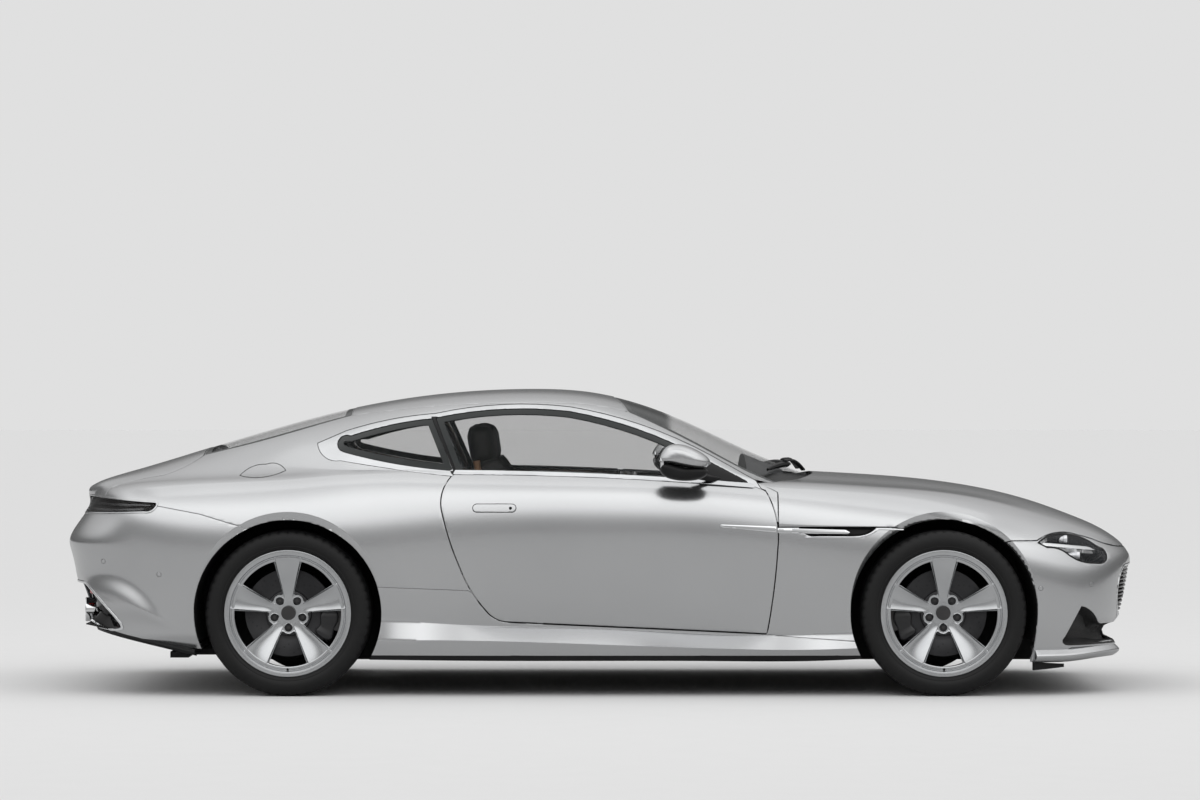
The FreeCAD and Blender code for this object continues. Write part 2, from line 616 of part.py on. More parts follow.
def rear_panels(m):
    """Boot lid, rear bumper with its diffuser and pipes, and tail lamps."""
    size, shape = m.size, m.shape
    gap, fit = size["panel_gap"], size["fit_gap"]
    skin = m.skin("cabin", 0, size["skin"])
    high = box(-FAR, FAR, -FAR, FAR, shape.z(BUMPER_TOP), FAR)
    m.feature("boot_lid", largest(skin.common(m.plan(BOOT_LID)).common(high)))
    lamp_place = box(-FAR, FAR, -FAR, -shape.y(LAMP_HALF_SPAN), -FAR, FAR)
    lamp = m.skin("cabin", 6, 2 * size["skin"]).common(m.side(TAIL_LAMP)).common(lamp_place)
    m.feature("tail_lamps", both_sides(largest(lamp)))
    lamp_holes = m.side(TAIL_LAMP, fit).cut(box(-FAR, FAR, -shape.y(LAMP_HALF_SPAN) + fit,
                                                shape.y(LAMP_HALF_SPAN) - fit, -FAR, FAR))
    bumper = skin.common(m.side(REAR_BUMPER_EDGE)).cut(lamp_holes)
    bumper = bumper.cut(m.plan(BOOT_LID, gap).common(
        box(-FAR, FAR, -FAR, FAR, shape.z(BUMPER_TOP) - gap, FAR)))
    bumper = bumper.cut(box(-FAR, FAR, -FAR, FAR, -FAR, shape.z(DIFFUSER_TOP)))
    bumper = bumper.cut(m.arches(shape.arch_radius)[1])
    for centre in PIPE_CENTRES:
        hole = cylinder_x(size["pipe_radius"] + fit, shape.x(NOMINAL_TAIL) - 40, shape.x(-2100),
                          -shape.y(centre), shape.z(PIPE_HEIGHT))
        bumper = bumper.cut(hole).cut(mirrored(hole))
    m.feature("rear_bumper", largest(bumper))
    diffuser = m.inside("cabin", 0).common(
        box(shape.x(-2310), shape.x(-1880), -FAR, FAR, shape.z(180), shape.z(DIFFUSER_TOP) - fit))
    m.feature("rear_diffuser", largest(diffuser))
    tips = []
    for centre in (*PIPE_CENTRES, *[-y for y in PIPE_CENTRES]):
        place = along(-2310), along(-2190), across(centre), above(PIPE_HEIGHT)
        radius = "dims.pipe_radius"
        number = len(tips) + 1
        tips.append(m.cut(f"tip_{number}", m.pipe(f"tip_outside_{number}", radius, *place),
                          m.pipe(f"tip_bore_{number}", f"{radius} - dims.pipe_wall", *place)))
    m.keep(m.fused("tips", tips), "exhaust_tips")


def cylinder_x(radius, x0, x1, y, z):
    return Part.makeCylinder(radius, x1 - x0, Vector(x0, y, z), Vector(1, 0, 0))


def structure(m, bonnet_space):
    """Sills, floor, firewall, boot tub, wheel liners, engine block and cabin furniture."""
    size, shape = m.size, m.shape
    fit, skin = size["fit_gap"], size["skin"]
    sill_inside = shape.y(925) - size["sill_width"]
    outer = m.inside("cabin", 0)
    liner_in = shape.arch_radius + 2
    liner_out = liner_in + size["liner_thickness"]
    arches = m.arches(liner_out + fit)
    sill = outer.common(m.side(SILL)).common(box(-FAR, FAR, -FAR, -sill_inside, -FAR, FAR))
    front = m.inside("bonnet", 0).common(m.side(SILL))
    join = shape.x(700)
    front = front.common(box(join, FAR, -FAR, -sill_inside, -FAR, FAR))
    sill = sill.common(box(-FAR, join, -FAR, FAR, -FAR, FAR)).fuse(front)
    for cutter in (*arches, m.side(DOOR, size["panel_gap"])):
        sill = sill.cut(cutter)
    m.feature("sills", both_sides(largest(sill)))

    floor_high = size["floor_height"] + size["floor_thickness"]
    inside = f"({across(925)} - dims.sill_width - dims.fit_gap)"
    floor_level = "dims.floor_height", "dims.floor_height + dims.floor_thickness"
    floor = m.block("floor_sheet", (along(-1870), along(1890)), (f"-{inside}", inside), floor_level)
    bays = []
    bay = "(dims.tyre_radius + dims.arch_gap + 48)"
    for axle in (NOMINAL_FRONT_AXLE, NOMINAL_REAR_AXLE):
        for y in ((across(460), "1000"), ("-1000", across(-460))):
            bays.append(m.block(f"wheel_bay_{len(bays)}", (f"{along(axle)} - {bay}",
                                f"{along(axle)} + {bay}"), y, ("0", "1000")))
    m.keep(m.cut("floor", floor, m.fused("wheel_bays", bays)), "floor_pan")

    walls = box(shape.x(770), shape.x(800), -FAR, FAR, floor_high + fit, FAR)
    walls = walls.common(m.inside("bonnet", skin + fit))
    cowl = box(shape.x(630), shape.x(800), -shape.y(790), shape.y(790), shape.z(800), FAR)
    cowl = cowl.cut(box(-FAR, shape.x(770), -FAR, FAR, -FAR, shape.z(850)))
    door_space = m.side(DOOR, size["panel_gap"])
    cowl = cowl.common(m.inside("cabin", skin + fit))
    cowl = cowl.cut(door_space.cut(box(-FAR, FAR, -shape.y(740), shape.y(740), -FAR, FAR)))
    firewall = walls.fuse(cowl).cut(bonnet_space).cut(m.side(SILL, fit)).cut(arches[0])
    hinges = [box(shape.x(700), shape.x(775), -FAR, -shape.y(850), shape.z(z), shape.z(z + 50))
              for z in HINGE_HEIGHTS]
    hinges = Part.makeCompound(hinges).common(m.inside("cabin", skin + fit))
    hinges = hinges.common(m.inside("bonnet", skin + fit))
    hinges = hinges.cut(m.side(DOOR, fit - 2 * size["panel_gap"]))
    m.feature("firewall", largest(firewall).fuse(both_sides(hinges).Solids))

    liners = []
    for x, loft_name in ((shape.front_axle, "bonnet"), (shape.rear_axle, "cabin")):
        ring = cylinder_y(liner_out, x, shape.axle_height, -FAR, -shape.y(465))
        ring = ring.cut(cylinder_y(liner_in, x, shape.axle_height, -FAR, 0))
        ring = ring.common(box(-FAR, FAR, -FAR, 0, shape.z(230), FAR))
        clear = skin + (fit if loft_name == "cabin" else size["panel_gap"] + 2)
        liners.append(largest(ring.common(m.inside(loft_name, clear))))
    m.feature("wheel_liners", both_sides(Part.makeCompound(liners)))

    tub_front, tub_back = shape.tub_front, shape.x(-2180)
    wall = size["wall"]
    tub_side = shape.y(470)
    tub = box(tub_back, tub_front, -tub_side, tub_side, shape.z(DIFFUSER_TOP), FAR)
    tub = tub.fuse(box(shape.x(-1870) + fit, tub_front, -tub_side, tub_side, floor_high + fit,
                       shape.z(DIFFUSER_TOP) + 5))
    tub = tub.cut(box(tub_back + wall, tub_front - wall, wall - tub_side, tub_side - wall,
                      shape.z(420), FAR))
    tub = tub.common(m.inside("cabin", skin + fit))
    m.feature("boot_tub", largest(tub))

    beam = box(shape.x(2100), FAR, -shape.y(300), shape.y(300), shape.z(380), shape.z(560))
    posts = [box(shape.x(2180), shape.x(2230), side * 220 - 20, side * 220 + 20, shape.z(400), FAR)
             for side in (-1, 1)]
    posts = Part.makeCompound(posts).common(m.inside("bonnet", skin + fit))
    beam = beam.common(m.inside("bonnet", skin + 12)).fuse(posts.Solids)
    legs = [box(shape.x(1850), shape.x(2110), side * 280 - 20, side * 280 + 20, floor_high + fit,
                shape.z(420)) for side in (-1, 1)]
    beam = beam.fuse(legs).cut(box(shape.x(1890), FAR, -FAR, FAR, -FAR, shape.z(SPLITTER_TOP)))
    m.feature("front_crossmember", beam)


def cabin_furniture(m):
    """Dashboard, console, seats, rear bulkhead and the plain engine block."""
    size, shape = m.size, m.shape
    fit = size["fit_gap"]
    floor_top = size["floor_height"] + size["floor_thickness"] + fit
    seats = []
    profile = ((290, floor_top), [(360, 330), (355, 400), (-190, 375), (-470, 1030),
                                  (-590, 1030), (-330, 400), (-350, floor_top)])
    headrest = ((-470, 1029), [(-470, 1160), (-570, 1165), (-590, 1029)])
    centre = shape.y(SEAT_CENTRE)
    for drawing, half in ((profile, 245), (headrest, 130)):
        corners = [(shape.x(x), z if z == floor_top else shape.z(z))
                   for x, z in outline(lambda p: p, *drawing)]
        seats.append(slab(corners, 1, -centre - half, -centre + half))
    m.feature("front_seats", both_sides(seats[0].fuse(seats[1])))
    bench = ((-640, floor_top), [(-640, 400), (-930, 370), (-1060, 790), (-1170, 790),
                                 (-1195 + fit, floor_top)])
    corners = [(shape.x(x), z if z == floor_top else shape.z(z))
               for x, z in outline(lambda p: p, *bench)]
    m.feature("rear_seats", slab(corners, 1, -shape.y(455), shape.y(455)))
    bulkhead = m.block("bulkhead_wall", (f"{along(-1195)} - dims.wall", along(-1195)),
                       (across(-455), across(455)), (FLOOR_TOP, above(900)))
    tub_front = f"({along(NOMINAL_REAR_AXLE)} - dims.tyre_radius - dims.arch_gap - dims.tub_gap)"
    shelf = m.block("parcel_shelf", (f"{tub_front} + dims.fit_gap", along(-1200)),
                    (across(-455), across(455)), (f"{above(900)} - dims.wall", above(900)))
    m.keep(m.fused("bulkhead", [bulkhead, shelf]), "rear_bulkhead")
    half = "dims.console_width / 2"
    console = m.block("console", (along(-560), f"{along(630)} - dims.fit_gap"),
                      (f"-{half}", half), (FLOOR_TOP, above(440)))
    m.keep(console, "centre_console")
    dash = slab([(shape.x(x), shape.z(z)) for x, z in
                 ((629.7, 600), (629.7, 880), (470, 885), (400, 840), (430, 640), (520, 600))],
                1, -shape.y(680), shape.y(680))
    column = steering_column(m, 21)
    m.document.recompute()
    m.feature("dashboard", dash.cut(console.Shape).cut(column))
    front = along(NOMINAL_FRONT_AXLE)
    engine = m.block("engine", (f"{front} - 620", f"{front} - 620 + dims.engine_size"),
                     ("-dims.engine_width / 2", "dims.engine_width / 2"),
                     (FLOOR_TOP, f"{FLOOR_TOP} + dims.engine_size"))
    m.keep(engine, "engine_block")


def steering_column(m, radius):
    """The column's cylinder, from the steering wheel's hub forwards and down."""
    hub = m.shape.point(*STEERING_HUB)
    slope = math.radians(STEERING_SLOPE)
    along = Vector(math.cos(slope), 0, -math.sin(slope))
    return Part.makeCylinder(radius, 260, hub, along)


def steering_wheel(m):
    """Rim, boss, three spokes and the column's upper shaft."""
    hub = m.shape.point(*STEERING_HUB)
    slope = math.radians(STEERING_SLOPE)
    along = Vector(math.cos(slope), 0, -math.sin(slope))
    wheel = Part.makeTorus(175, 15, hub, along)
    wheel = wheel.fuse(Part.makeCylinder(55, 50, hub - along * 10, along))
    wheel = wheel.fuse(steering_column(m, 18))
    for turn in (90, 210, 330):
        spoke = box(0, 14, -18, 18, 40, 170)
        spoke.rotate(Vector(), Vector(1, 0, 0), turn + 60)
        spoke.rotate(Vector(), Vector(0, 1, 0), STEERING_SLOPE)
        wheel = wheel.fuse(spoke.translated(hub))
    m.feature("steering_wheel", wheel)


def revolved(profile, x, z, centre):
    """A ring about a wheel's axle, from (y from the centre plane, radius) corners."""
    points = [Vector(x, centre + y, z + radius) for y, radius in profile]
    face = Part.Face(Part.makePolygon(points + points[:1]))
    return face.revolve(Vector(x, 0, z), Vector(0, 1, 0), 360)


def wheel_parts(m, x):
    """The right side's tyre, and rim with hub and disc, at this axle."""
    size, z = m.size, m.shape.axle_height
    centre = -m.shape.half_track
    fit, rim, edge = size["fit_gap"], size["rim_radius"], size["rim_width"] / 2
    top, half = size["tyre_radius"], size["tyre_width"] / 2
    flange = rim + size["flange_height"]
    seat = edge - FLANGE_THICKNESS
    tyre = revolved([(-seat + fit, rim + fit), (seat - fit, rim + fit),
                     (seat - fit, flange + fit), (half - 6, flange + 8), (half, flange + 30),
                     (half, top - 28), (half - 18, top), (18 - half, top), (-half, top - 28),
                     (-half, flange + 30), (6 - half, flange + 8), (fit - seat, flange + fit)],
                    x, z, centre)
    barrel = revolved([(-edge, rim - size["rim_wall"]), (edge, rim - size["rim_wall"]),
                       (edge, flange), (seat, flange), (seat, rim), (-seat, rim),
                       (-seat, flange), (-edge, flange)], x, z, centre)
    face, back = centre - edge + 14, centre - HUB_BACK
    hub = cylinder_y(72, x, z, face, back - fit)
    bore = cylinder_y(size["spindle_radius"] + size["running_gap"], x, z, centre - SPINDLE_END - 1,
                      back + 100)
    wheel = barrel.fuse(hub)
    inner, outer = 60, rim - size["rim_wall"] / 2
    for i in range(5):
        spoke = slab([(-28, inner), (-48, outer), (48, outer), (28, inner)], 1, face, face + 34)
        spoke.rotate(Vector(), Vector(0, 1, 0), 72 * i)
        wheel = wheel.fuse(spoke.translated(Vector(x, 0, z)))
    disc = cylinder_y(size["disc_radius"], x, z, back, back + size["disc_thickness"])
    return tyre, Part.makeCompound([wheel.cut(bore), disc.cut(bore)])


def carrier(m, x, caliper_turn):
    """The right side's upright, stub axle and brake caliper, whose back sits at the angle."""
    size, z = m.size, m.shape.axle_height
    centre, fit = -m.shape.half_track, size["fit_gap"]
    steer = centre + size["steer_offset"]
    reach = size["arm_offset"] - size["arm_depth"] / 2 - fit
    half, depth = size["knuckle_width"] / 2, size["knuckle_depth"] / 2
    upright = box(x - half, x + half, steer - depth, steer + depth, z - reach, z + reach)
    spindle = cylinder_y(size["spindle_radius"], x, z, centre - SPINDLE_END, steer)
    disc_back = centre - HUB_BACK + size["disc_thickness"]
    disc_front = centre - HUB_BACK
    reach = size["rim_radius"] - size["rim_wall"] - 9
    block = cylinder_y(reach, x, z, disc_front - 15, steer)
    slot = cylinder_y(size["disc_radius"] + 6, x, z, disc_front - 6, disc_back + 6)
    block = block.cut(slot).cut(cylinder_y(150, x, z, disc_front - 40, disc_back + 6))
    wedge = slab([(0, 0), (400, -150), (400, 150)], 1, -FAR, FAR)
    wedge.rotate(Vector(), Vector(0, 1, 0), caliper_turn)
    caliper = block.common(wedge.translated(Vector(x, 0, z)))
    return upright.fuse(spindle).fuse(caliper)


def running_gear(m):
    """Tyres, wheels, the knuckles that steer, the fixed rear carriers, and all their arms."""
    size, shape = m.size, m.shape
    for end, x in (("front", shape.front_axle), ("rear", shape.rear_axle)):
        tyre, wheel = wheel_parts(m, x)
        for side, place in (("right", lambda solid: solid), ("left", mirrored)):
            m.feature(f"{end}_{side}_tyre", place(tyre))
            m.feature(f"{end}_{side}_wheel", place(wheel))
    knuckle = carrier(m, shape.front_axle, 180)
    m.feature("front_right_knuckle", knuckle)
    m.feature("front_left_knuckle", mirrored(knuckle))
    m.feature("rear_hub_carriers", both_sides(carrier(m, shape.rear_axle, 0)))
    for node, axle in (("front_wishbones", NOMINAL_FRONT_AXLE),
                       ("rear_wishbones", NOMINAL_REAR_AXLE)):
        wishbones(m, node, along(axle))


def wishbones(m, node, axle):
    """Both sides' tower and pair of arms at an axle, whose place is an expression."""
    pieces = []
    for side, name in ((-1, "right"), (1, "left")):
        inner, tower = across(TOWER_SPAN[0] * side), across(TOWER_SPAN[1] * side)
        knuckle = f"{side} * (dims.track / 2 - dims.steer_offset + dims.knuckle_depth / 2)"
        heights = [f"(dims.tyre_radius {sign} dims.arm_offset)" for sign in "-+"]
        pieces.append(m.block(f"{node}_{name}_tower", (f"{axle} - 50", f"{axle} + 50"),
                              (inner, tower) if side > 0 else (tower, inner),
                              (FLOOR_TOP, f"{heights[1]} + 60")))
        for height, level in zip(heights, ("lower", "upper")):
            pieces.append(m.block(f"{node}_{name}_{level}",
                                  (f"{axle} - dims.arm_width / 2", f"{axle} + dims.arm_width / 2"),
                                  (inner, knuckle) if side > 0 else (knuckle, inner),
                                  (f"{height} - dims.arm_depth / 2", f"{height} + dims.arm_depth / 2")))
    m.keep(m.fused(f"{node}_pieces", pieces), node)


def build():
    """The whole car in one document."""
    m = Model()
    bonnet_space = cabin_panels(m)
    front_panels(m)
    rear_panels(m)
    structure(m, bonnet_space)
    cabin_furniture(m)
    steering_wheel(m)
    running_gear(m)
    return m


def write(m):
    """Check every object, then write each sub-part to its own file."""
    m.document.recompute()
    for item in m.document.Objects:
        if {"Invalid", "Error"} & set(item.State):
            raise RuntimeError(f"{item.Label}: {item.State}")
    os.makedirs("parts", exist_ok=True)
    for item in m.nodes:
        if item.Shape.isNull() or not item.Shape.isValid() or not item.Shape.Solids:
            raise RuntimeError(f"{item.Label}: bad shape")
    for item in m.nodes:
        item.Shape.exportStep(f"parts/{item.Label}.step")
        print(item.Label, len(item.Shape.Solids), round(item.Shape.Volume / 1e6, 2))


write(build())
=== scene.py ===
"""Looks of a two-door grand touring coupe, laid over its packed mechanical frame.

The frame's axes are kept: +X to the nose, +Y to the car's left, +Z up, metres. Drawings on the
bodywork (shut lines, window outlines, creases) are given in millimetres, as a body shop would,
and every other size is in metres. The bodywork is one smooth surface, worked out from a short
table of cross-sections, and each panel is a sheet of it trimmed along its own drawing.
"""

import json
import logging
import math
from contextlib import contextmanager
from dataclasses import dataclass
from enum import Enum
from typing import Callable, Iterator, Optional, Sequence

import bpy
import numpy as np
from mathutils import Matrix, Vector
from mathutils.bvhtree import BVHTree

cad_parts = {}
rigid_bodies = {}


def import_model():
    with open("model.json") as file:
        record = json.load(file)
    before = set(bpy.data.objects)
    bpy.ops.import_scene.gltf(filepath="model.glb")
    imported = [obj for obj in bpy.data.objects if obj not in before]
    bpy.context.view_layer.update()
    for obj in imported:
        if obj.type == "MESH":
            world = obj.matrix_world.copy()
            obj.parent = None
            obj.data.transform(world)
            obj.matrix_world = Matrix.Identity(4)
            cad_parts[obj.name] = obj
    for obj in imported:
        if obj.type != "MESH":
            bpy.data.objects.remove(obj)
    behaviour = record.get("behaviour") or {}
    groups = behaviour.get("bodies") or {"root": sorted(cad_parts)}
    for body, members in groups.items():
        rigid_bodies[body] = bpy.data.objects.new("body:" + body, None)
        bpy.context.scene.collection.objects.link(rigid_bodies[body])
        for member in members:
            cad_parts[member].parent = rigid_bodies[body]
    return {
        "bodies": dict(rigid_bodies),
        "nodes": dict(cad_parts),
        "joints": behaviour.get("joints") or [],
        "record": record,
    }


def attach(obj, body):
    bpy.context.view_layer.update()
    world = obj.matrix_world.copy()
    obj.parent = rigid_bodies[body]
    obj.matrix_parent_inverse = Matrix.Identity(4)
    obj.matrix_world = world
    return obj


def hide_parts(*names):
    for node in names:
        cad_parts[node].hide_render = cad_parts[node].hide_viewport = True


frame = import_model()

log = logging.getLogger("coupe")
MM = 0.001
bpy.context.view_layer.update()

Array = np.ndarray
Obj = bpy.types.Object
Material = bpy.types.Material
Node = bpy.types.Node
Point = tuple[float, float, float]
Measure = Callable[[Array], Array]  # a number for each of the places (n, 3)

X, Y, Z = range(3)
BELOW, ABOVE = -1, 1  # the side of a cut that is kept
FORWARD, LEFTWARD, UPWARD = (1.0, 0.0, 0.0), (0.0, 1.0, 0.0), (0.0, 0.0, 1.0)
ACROSS = (1, -1, 1)  # turns a place on the right into the same one on the left
SAME_PLACE = 1e-6  # points closer than this are one
ARCH_RADIUS, ARCH_LIP = 400 * MM, 34 * MM
FRONT_AXLE, REAR_AXLE, AXLE_HEIGHT = 1462 * MM, -1343 * MM, 354 * MM
EDGE_ROUND = 0.0016

# Lower body, one row per cross-section: half width y and height z of each line along the side.
# The lines, from the top: belt, shoulder, waist, flank, ledge, rocker, sill.
SIDE = (
    (-2345, (770, 800), (866, 785), (926, 730), (930, 640), (925, 590), (910, 560), (890, 540)),
    (-2255, (770, 852), (872, 832), (940, 765), (940, 600), (936, 470), (920, 395), (900, 345)),
    (-2150, (768, 886), (878, 868), (954, 788), (950, 590), (944, 400), (930, 295), (905, 240)),
    (-1850, (764, 920), (868, 912), (972, 775), (966, 555), (950, 370), (935, 260), (905, 205)),
    (-1343, (772, 940), (872, 938), (984, 752), (974, 520), (945, 350), (930, 225), (905, 165)),
    (-1000, (790, 966), (878, 938), (966, 745), (956, 510), (922, 330), (925, 235), (905, 155)),
    (-650, (815, 959), (893, 912), (953, 750), (935, 490), (893, 306), (943, 240), (922, 152)),
    (0, (835, 937), (905, 892), (948, 736), (922, 470), (878, 286), (945, 222), (925, 151)),
    (500, (833, 917), (903, 868), (946, 722), (918, 465), (874, 262), (943, 205), (923, 150)),
    (900, (818, 893), (898, 835), (950, 706), (932, 460), (905, 260), (938, 200), (915, 150)),
    (1462, (800, 846), (894, 796), (978, 690), (972, 460), (945, 290), (935, 215), (905, 165)),
    (1862, (775, 752), (872, 705), (958, 610), (958, 430), (935, 285), (915, 200), (885, 140)),
    (2150, (740, 664), (845, 622), (935, 540), (945, 400), (925, 290), (900, 215), (870, 160)),
    (2260, (740, 622), (842, 600), (925, 545), (940, 440), (925, 345), (900, 290), (870, 255)),
    (2345, (740, 600), (840, 594), (910, 580), (930, 560), (920, 535), (900, 510), (870, 480)),
)
# Bonnet: height at the centre, then the ridge, the valley and the wing's crown.
BONNET = (
    (500, (0, 966), (330, 962), (560, 938), (715, 925)),
    (900, (0, 950), (330, 945), (560, 915), (715, 912)),
    (1180, (0, 935), (330, 930), (560, 899), (713, 895)),
    (1462, (0, 911), (328, 906), (555, 874), (705, 872)),
    (1700, (0, 874), (320, 870), (545, 840), (692, 829)),
    (1900, (0, 824), (310, 821), (530, 795), (675, 772)),
    (2100, (0, 752), (300, 750), (510, 735), (655, 710)),
    (2250, (0, 679), (295, 678), (500, 668), (645, 650)),
    (2345, (0, 607), (290, 606), (490, 603), (640, 600)),
)
# Cabin and tail: height at the centre, then the roof, its edge and the rail over the glass.
CABIN = (
    (-2345, (0, 872), (330, 871), (520, 866), (660, 848)),
    (-2250, (0, 903), (330, 902), (520, 899), (660, 890)),
    (-2050, (0, 962), (320, 961), (500, 954), (640, 938)),
    (-1800, (0, 1040), (300, 1036), (470, 1018), (598, 988)),
    (-1500, (0, 1132), (275, 1125), (440, 1098), (565, 1040)),
    (-1150, (0, 1225), (275, 1217), (450, 1185), (575, 1120)),
    (-721, (0, 1296), (285, 1289), (470, 1266), (597, 1212)),
    (-300, (0, 1318), (290, 1312), (485, 1291), (612, 1243)),
    (-60, (0, 1305), (290, 1298), (485, 1276), (617, 1229)),
    (165, (0, 1254), (290, 1246), (485, 1222), (640, 1160)),
    (420, (0, 1154), (300, 1146), (510, 1112), (695, 1050)),
    (640, (0, 1050), (320, 1042), (560, 1000), (760, 935)),
    (950, (0, 925), (350, 915), (600, 880), (780, 860)),
)


class Upper(Enum):
    """The two upper bodies that share the same flanks."""

    CABIN = "cabin"
    BONNET = "bonnet"


class View(Enum):
    """The view that a drawing is made in, as the two axes that it runs along."""

    SIDE = (0, 2)
    PLAN = (0, 1)
    FRONT = (1, 2)


class Hand(Enum):
    """The side of the car that a piece is on."""

    RIGHT = -1
    LEFT = 1

    @property
    def word(self) -> str:
        """The side's name in a piece's name."""
        return self.name.lower()


# ---------------------------------------------------------------- drawings

ARC_PIECES = 8


def arc_points(start: Sequence[float], middle: Sequence[float], end: Sequence[float]) -> list:
    """Points after start on the arc through three points.

    Args:
        start: Where the arc starts.
        middle: A point on the way.
        end: Where it ends.

    Returns:
        The points, the last of which is end.
    """
    a, b, c = (np.array(p, float) for p in (start, middle, end))
    twice = 2 * np.cross(b - a, c - a)
    squares = np.array([p @ p for p in (a, b, c)])
    x = (squares[0] * (b[1] - c[1]) + squares[1] * (c[1] - a[1])
         + squares[2] * (a[1] - b[1])) / twice
    y = (squares[0] * (c[0] - b[0]) + squares[1] * (a[0] - c[0])
         + squares[2] * (b[0] - a[0])) / twice
    radius, first = math.hypot(a[0] - x, a[1] - y), math.atan2(a[1] - y, a[0] - x)
    sweep = math.remainder(math.atan2(c[1] - y, c[0] - x) - first, math.tau)
    if (sweep > 0) != (twice > 0):
        sweep -= math.copysign(math.tau, sweep)
    turns = [first + sweep * i / ARC_PIECES for i in range(1, ARC_PIECES + 1)]
    return [(x + radius * math.cos(turn), y + radius * math.sin(turn)) for turn in turns]


@dataclass(frozen=True)
class Drawing:
    """A closed outline drawn on the car in one view, in millimetres.

    Each step is a straight line's end, or a pair (point on the way, end) for an arc.
    """

    view: View
    start: tuple
    steps: tuple

    def corners(self) -> Array:
        """The outline's corners in metres, arcs as short straight pieces."""
        found = [self.start]
        for step in self.steps:
            found += arc_points(found[-1], *step) if isinstance(step[0], tuple) else [step]
        if math.dist(found[0], found[-1]) < 1e-3:
            found.pop()
        return np.array(found) * MM

    def distance(self, places: Array) -> Array:
        """Signed distance of places (n, 3) from the outline in its view, negative inside."""
        flat, corners = places[:, list(self.view.value)], self.corners()
        best, inside = np.full(len(flat), np.inf), np.zeros(len(flat), bool)
        for a, b in zip(corners, np.roll(corners, -1, axis=0)):
            run, offset = b - a, flat - a
            share = np.clip(offset @ run / (run @ run), 0, 1)
            best = np.minimum(best, np.linalg.norm(offset - share[:, None] * run, axis=1))
            crosses = (a[1] > flat[:, 1]) != (b[1] > flat[:, 1])
            with np.errstate(divide="ignore", invalid="ignore"):
                at = a[0] + (flat[:, 1] - a[1]) * run[0] / run[1]
            inside ^= crosses & (flat[:, 0] < at)
        return np.where(inside, -best, best)


def side(start: tuple, *steps: tuple) -> Drawing:
    """A drawing (x, z) on the car's side."""
    return Drawing(View.SIDE, start, steps)


def plan(start: tuple, *steps: tuple) -> Drawing:
    """A drawing (x, y) seen from above."""
    return Drawing(View.PLAN, start, steps)


def front(start: tuple, *steps: tuple) -> Drawing:
    """A drawing (y, z) seen from the front."""
    return Drawing(View.FRONT, start, steps)


DOOR = side((-628, 954), ((-675, 890), (-685, 800)), ((-655, 686), (-606, 553)),
            ((-560, 455), (-491, 361)), ((-458, 333), (-414, 318)), (705, 267),
            ((735, 470), (749, 634)), ((748, 735), (700, 877)), (623, 907),
            ((0, 938), (-628, 954)))
DOOR_GLASS = side((-618, 940), (-722, 1190), ((-430, 1228), (-139, 1218)),
                  ((165, 1138), (450, 1010)), (622, 918), (640, 880))
QUARTER_GLASS = side((-640, 962), (-738, 1187), ((-900, 1163), (-1093, 1112)),
                     ((-1148, 1080), (-1120, 1042)), ((-880, 990), (-640, 962)))
SILL = side((-1300, 100), (-1300, 480), (-564, 450), ((-545, 425), (-491, 355)), (-414, 312),
            (705, 261), (1400, 210), (1400, 100))
HEADLAMP = side((1866, 655), ((1935, 690), (2012, 690)), ((2090, 668), (2154, 629)),
                ((2190, 600), (2186, 572)), (2164, 559), (2112, 563), ((2040, 580), (1990, 612)),
                ((1950, 630), (1907, 634)))
BONNET_EDGE = side((500, 725), (1462, 725), (1462, 667), (1862, 667), ((1940, 696), (2036, 693)),
                   (2130, 666), ((2205, 640), (2400, 630)), (2400, 1400), (500, 1400))
BONNET_PLAN = plan((932, 0), ((880, -480), (735, -765)), (640, -805), (756, -860), (756, -1100),
                   (2500, -1100), (2500, 1100), (756, 1100), (756, 860), (640, 805),
                   (735, 765), ((880, 480), (932, 0)))
WINDSCREEN = plan((60, 0), ((75, -300), (118, -535)), (735, -742), (1100, -742), (1100, 742),
                  (735, 742), (118, 535), ((75, 300), (60, 0)))
ROOF = plan((54, 0), ((69, -300), (112, -536)), ((-480, -560), (-1096, -420)), (-1096, 420),
            ((-480, 560), (112, 536)), ((69, 300), (54, 0)))
REAR_WINDOW = plan((-1102, 420), (-1102, -420), (-1738, -480), (-1738, 480))
BOOT_LID = plan((-1745, 478), (-1745, -478), ((-1800, -590), (-1900, -675)), (-2500, -675),
                (-2500, 675), (-1900, 675), ((-1800, 590), (-1745, 478)))
REAR_BUMPER_EDGE = side((-1500, 690), (-1500, 716), (-1580, 736), (-1717, 778), (-1900, 812),
                        (-2500, 812), (-2500, 100), (-1500, 100))
TAIL_LAMP = side((-1905, 826), ((-1920, 800), (-1960, 790)), (-2450, 772), (-2450, 846),
                 (-2200, 846))
GRILLE = front((-520, 320), ((-600, 430), (-470, 550)), (470, 550), ((600, 430), (520, 320)))
INTAKE = side((1991, 213), ((1975, 225), (1985, 250)), (2059, 383), ((2115, 350), (2140, 311)),
              (2151, 300), (2400, 288), (2400, 213))
VENT = side((835, 730), (1180, 730), ((1125, 690), (1072, 684)), (925, 684),
            ((870, 692), (835, 730)))
EXHAUST = side((-2400, 478), (-2238, 478), ((-2150, 400), (-2062, 306)), (-2056, 286),
               ((-2110, 276), (-2170, 286)), (-2215, 308), (-2400, 330))
EXHAUST_LOBE = side((-2420, 520), (-2202, 527), ((-2014, 490), (-1924, 420)), (-1809, 281),
                    (-2022, 300), (-2420, 330))
COWL = plan((846, 0), ((805, -400), (600, -740)), (640, -800), (760, -780), ((900, -480), (960, 0)),
            ((900, 480), (760, 780)), (640, 800), (600, 740), ((805, 400), (846, 0)))
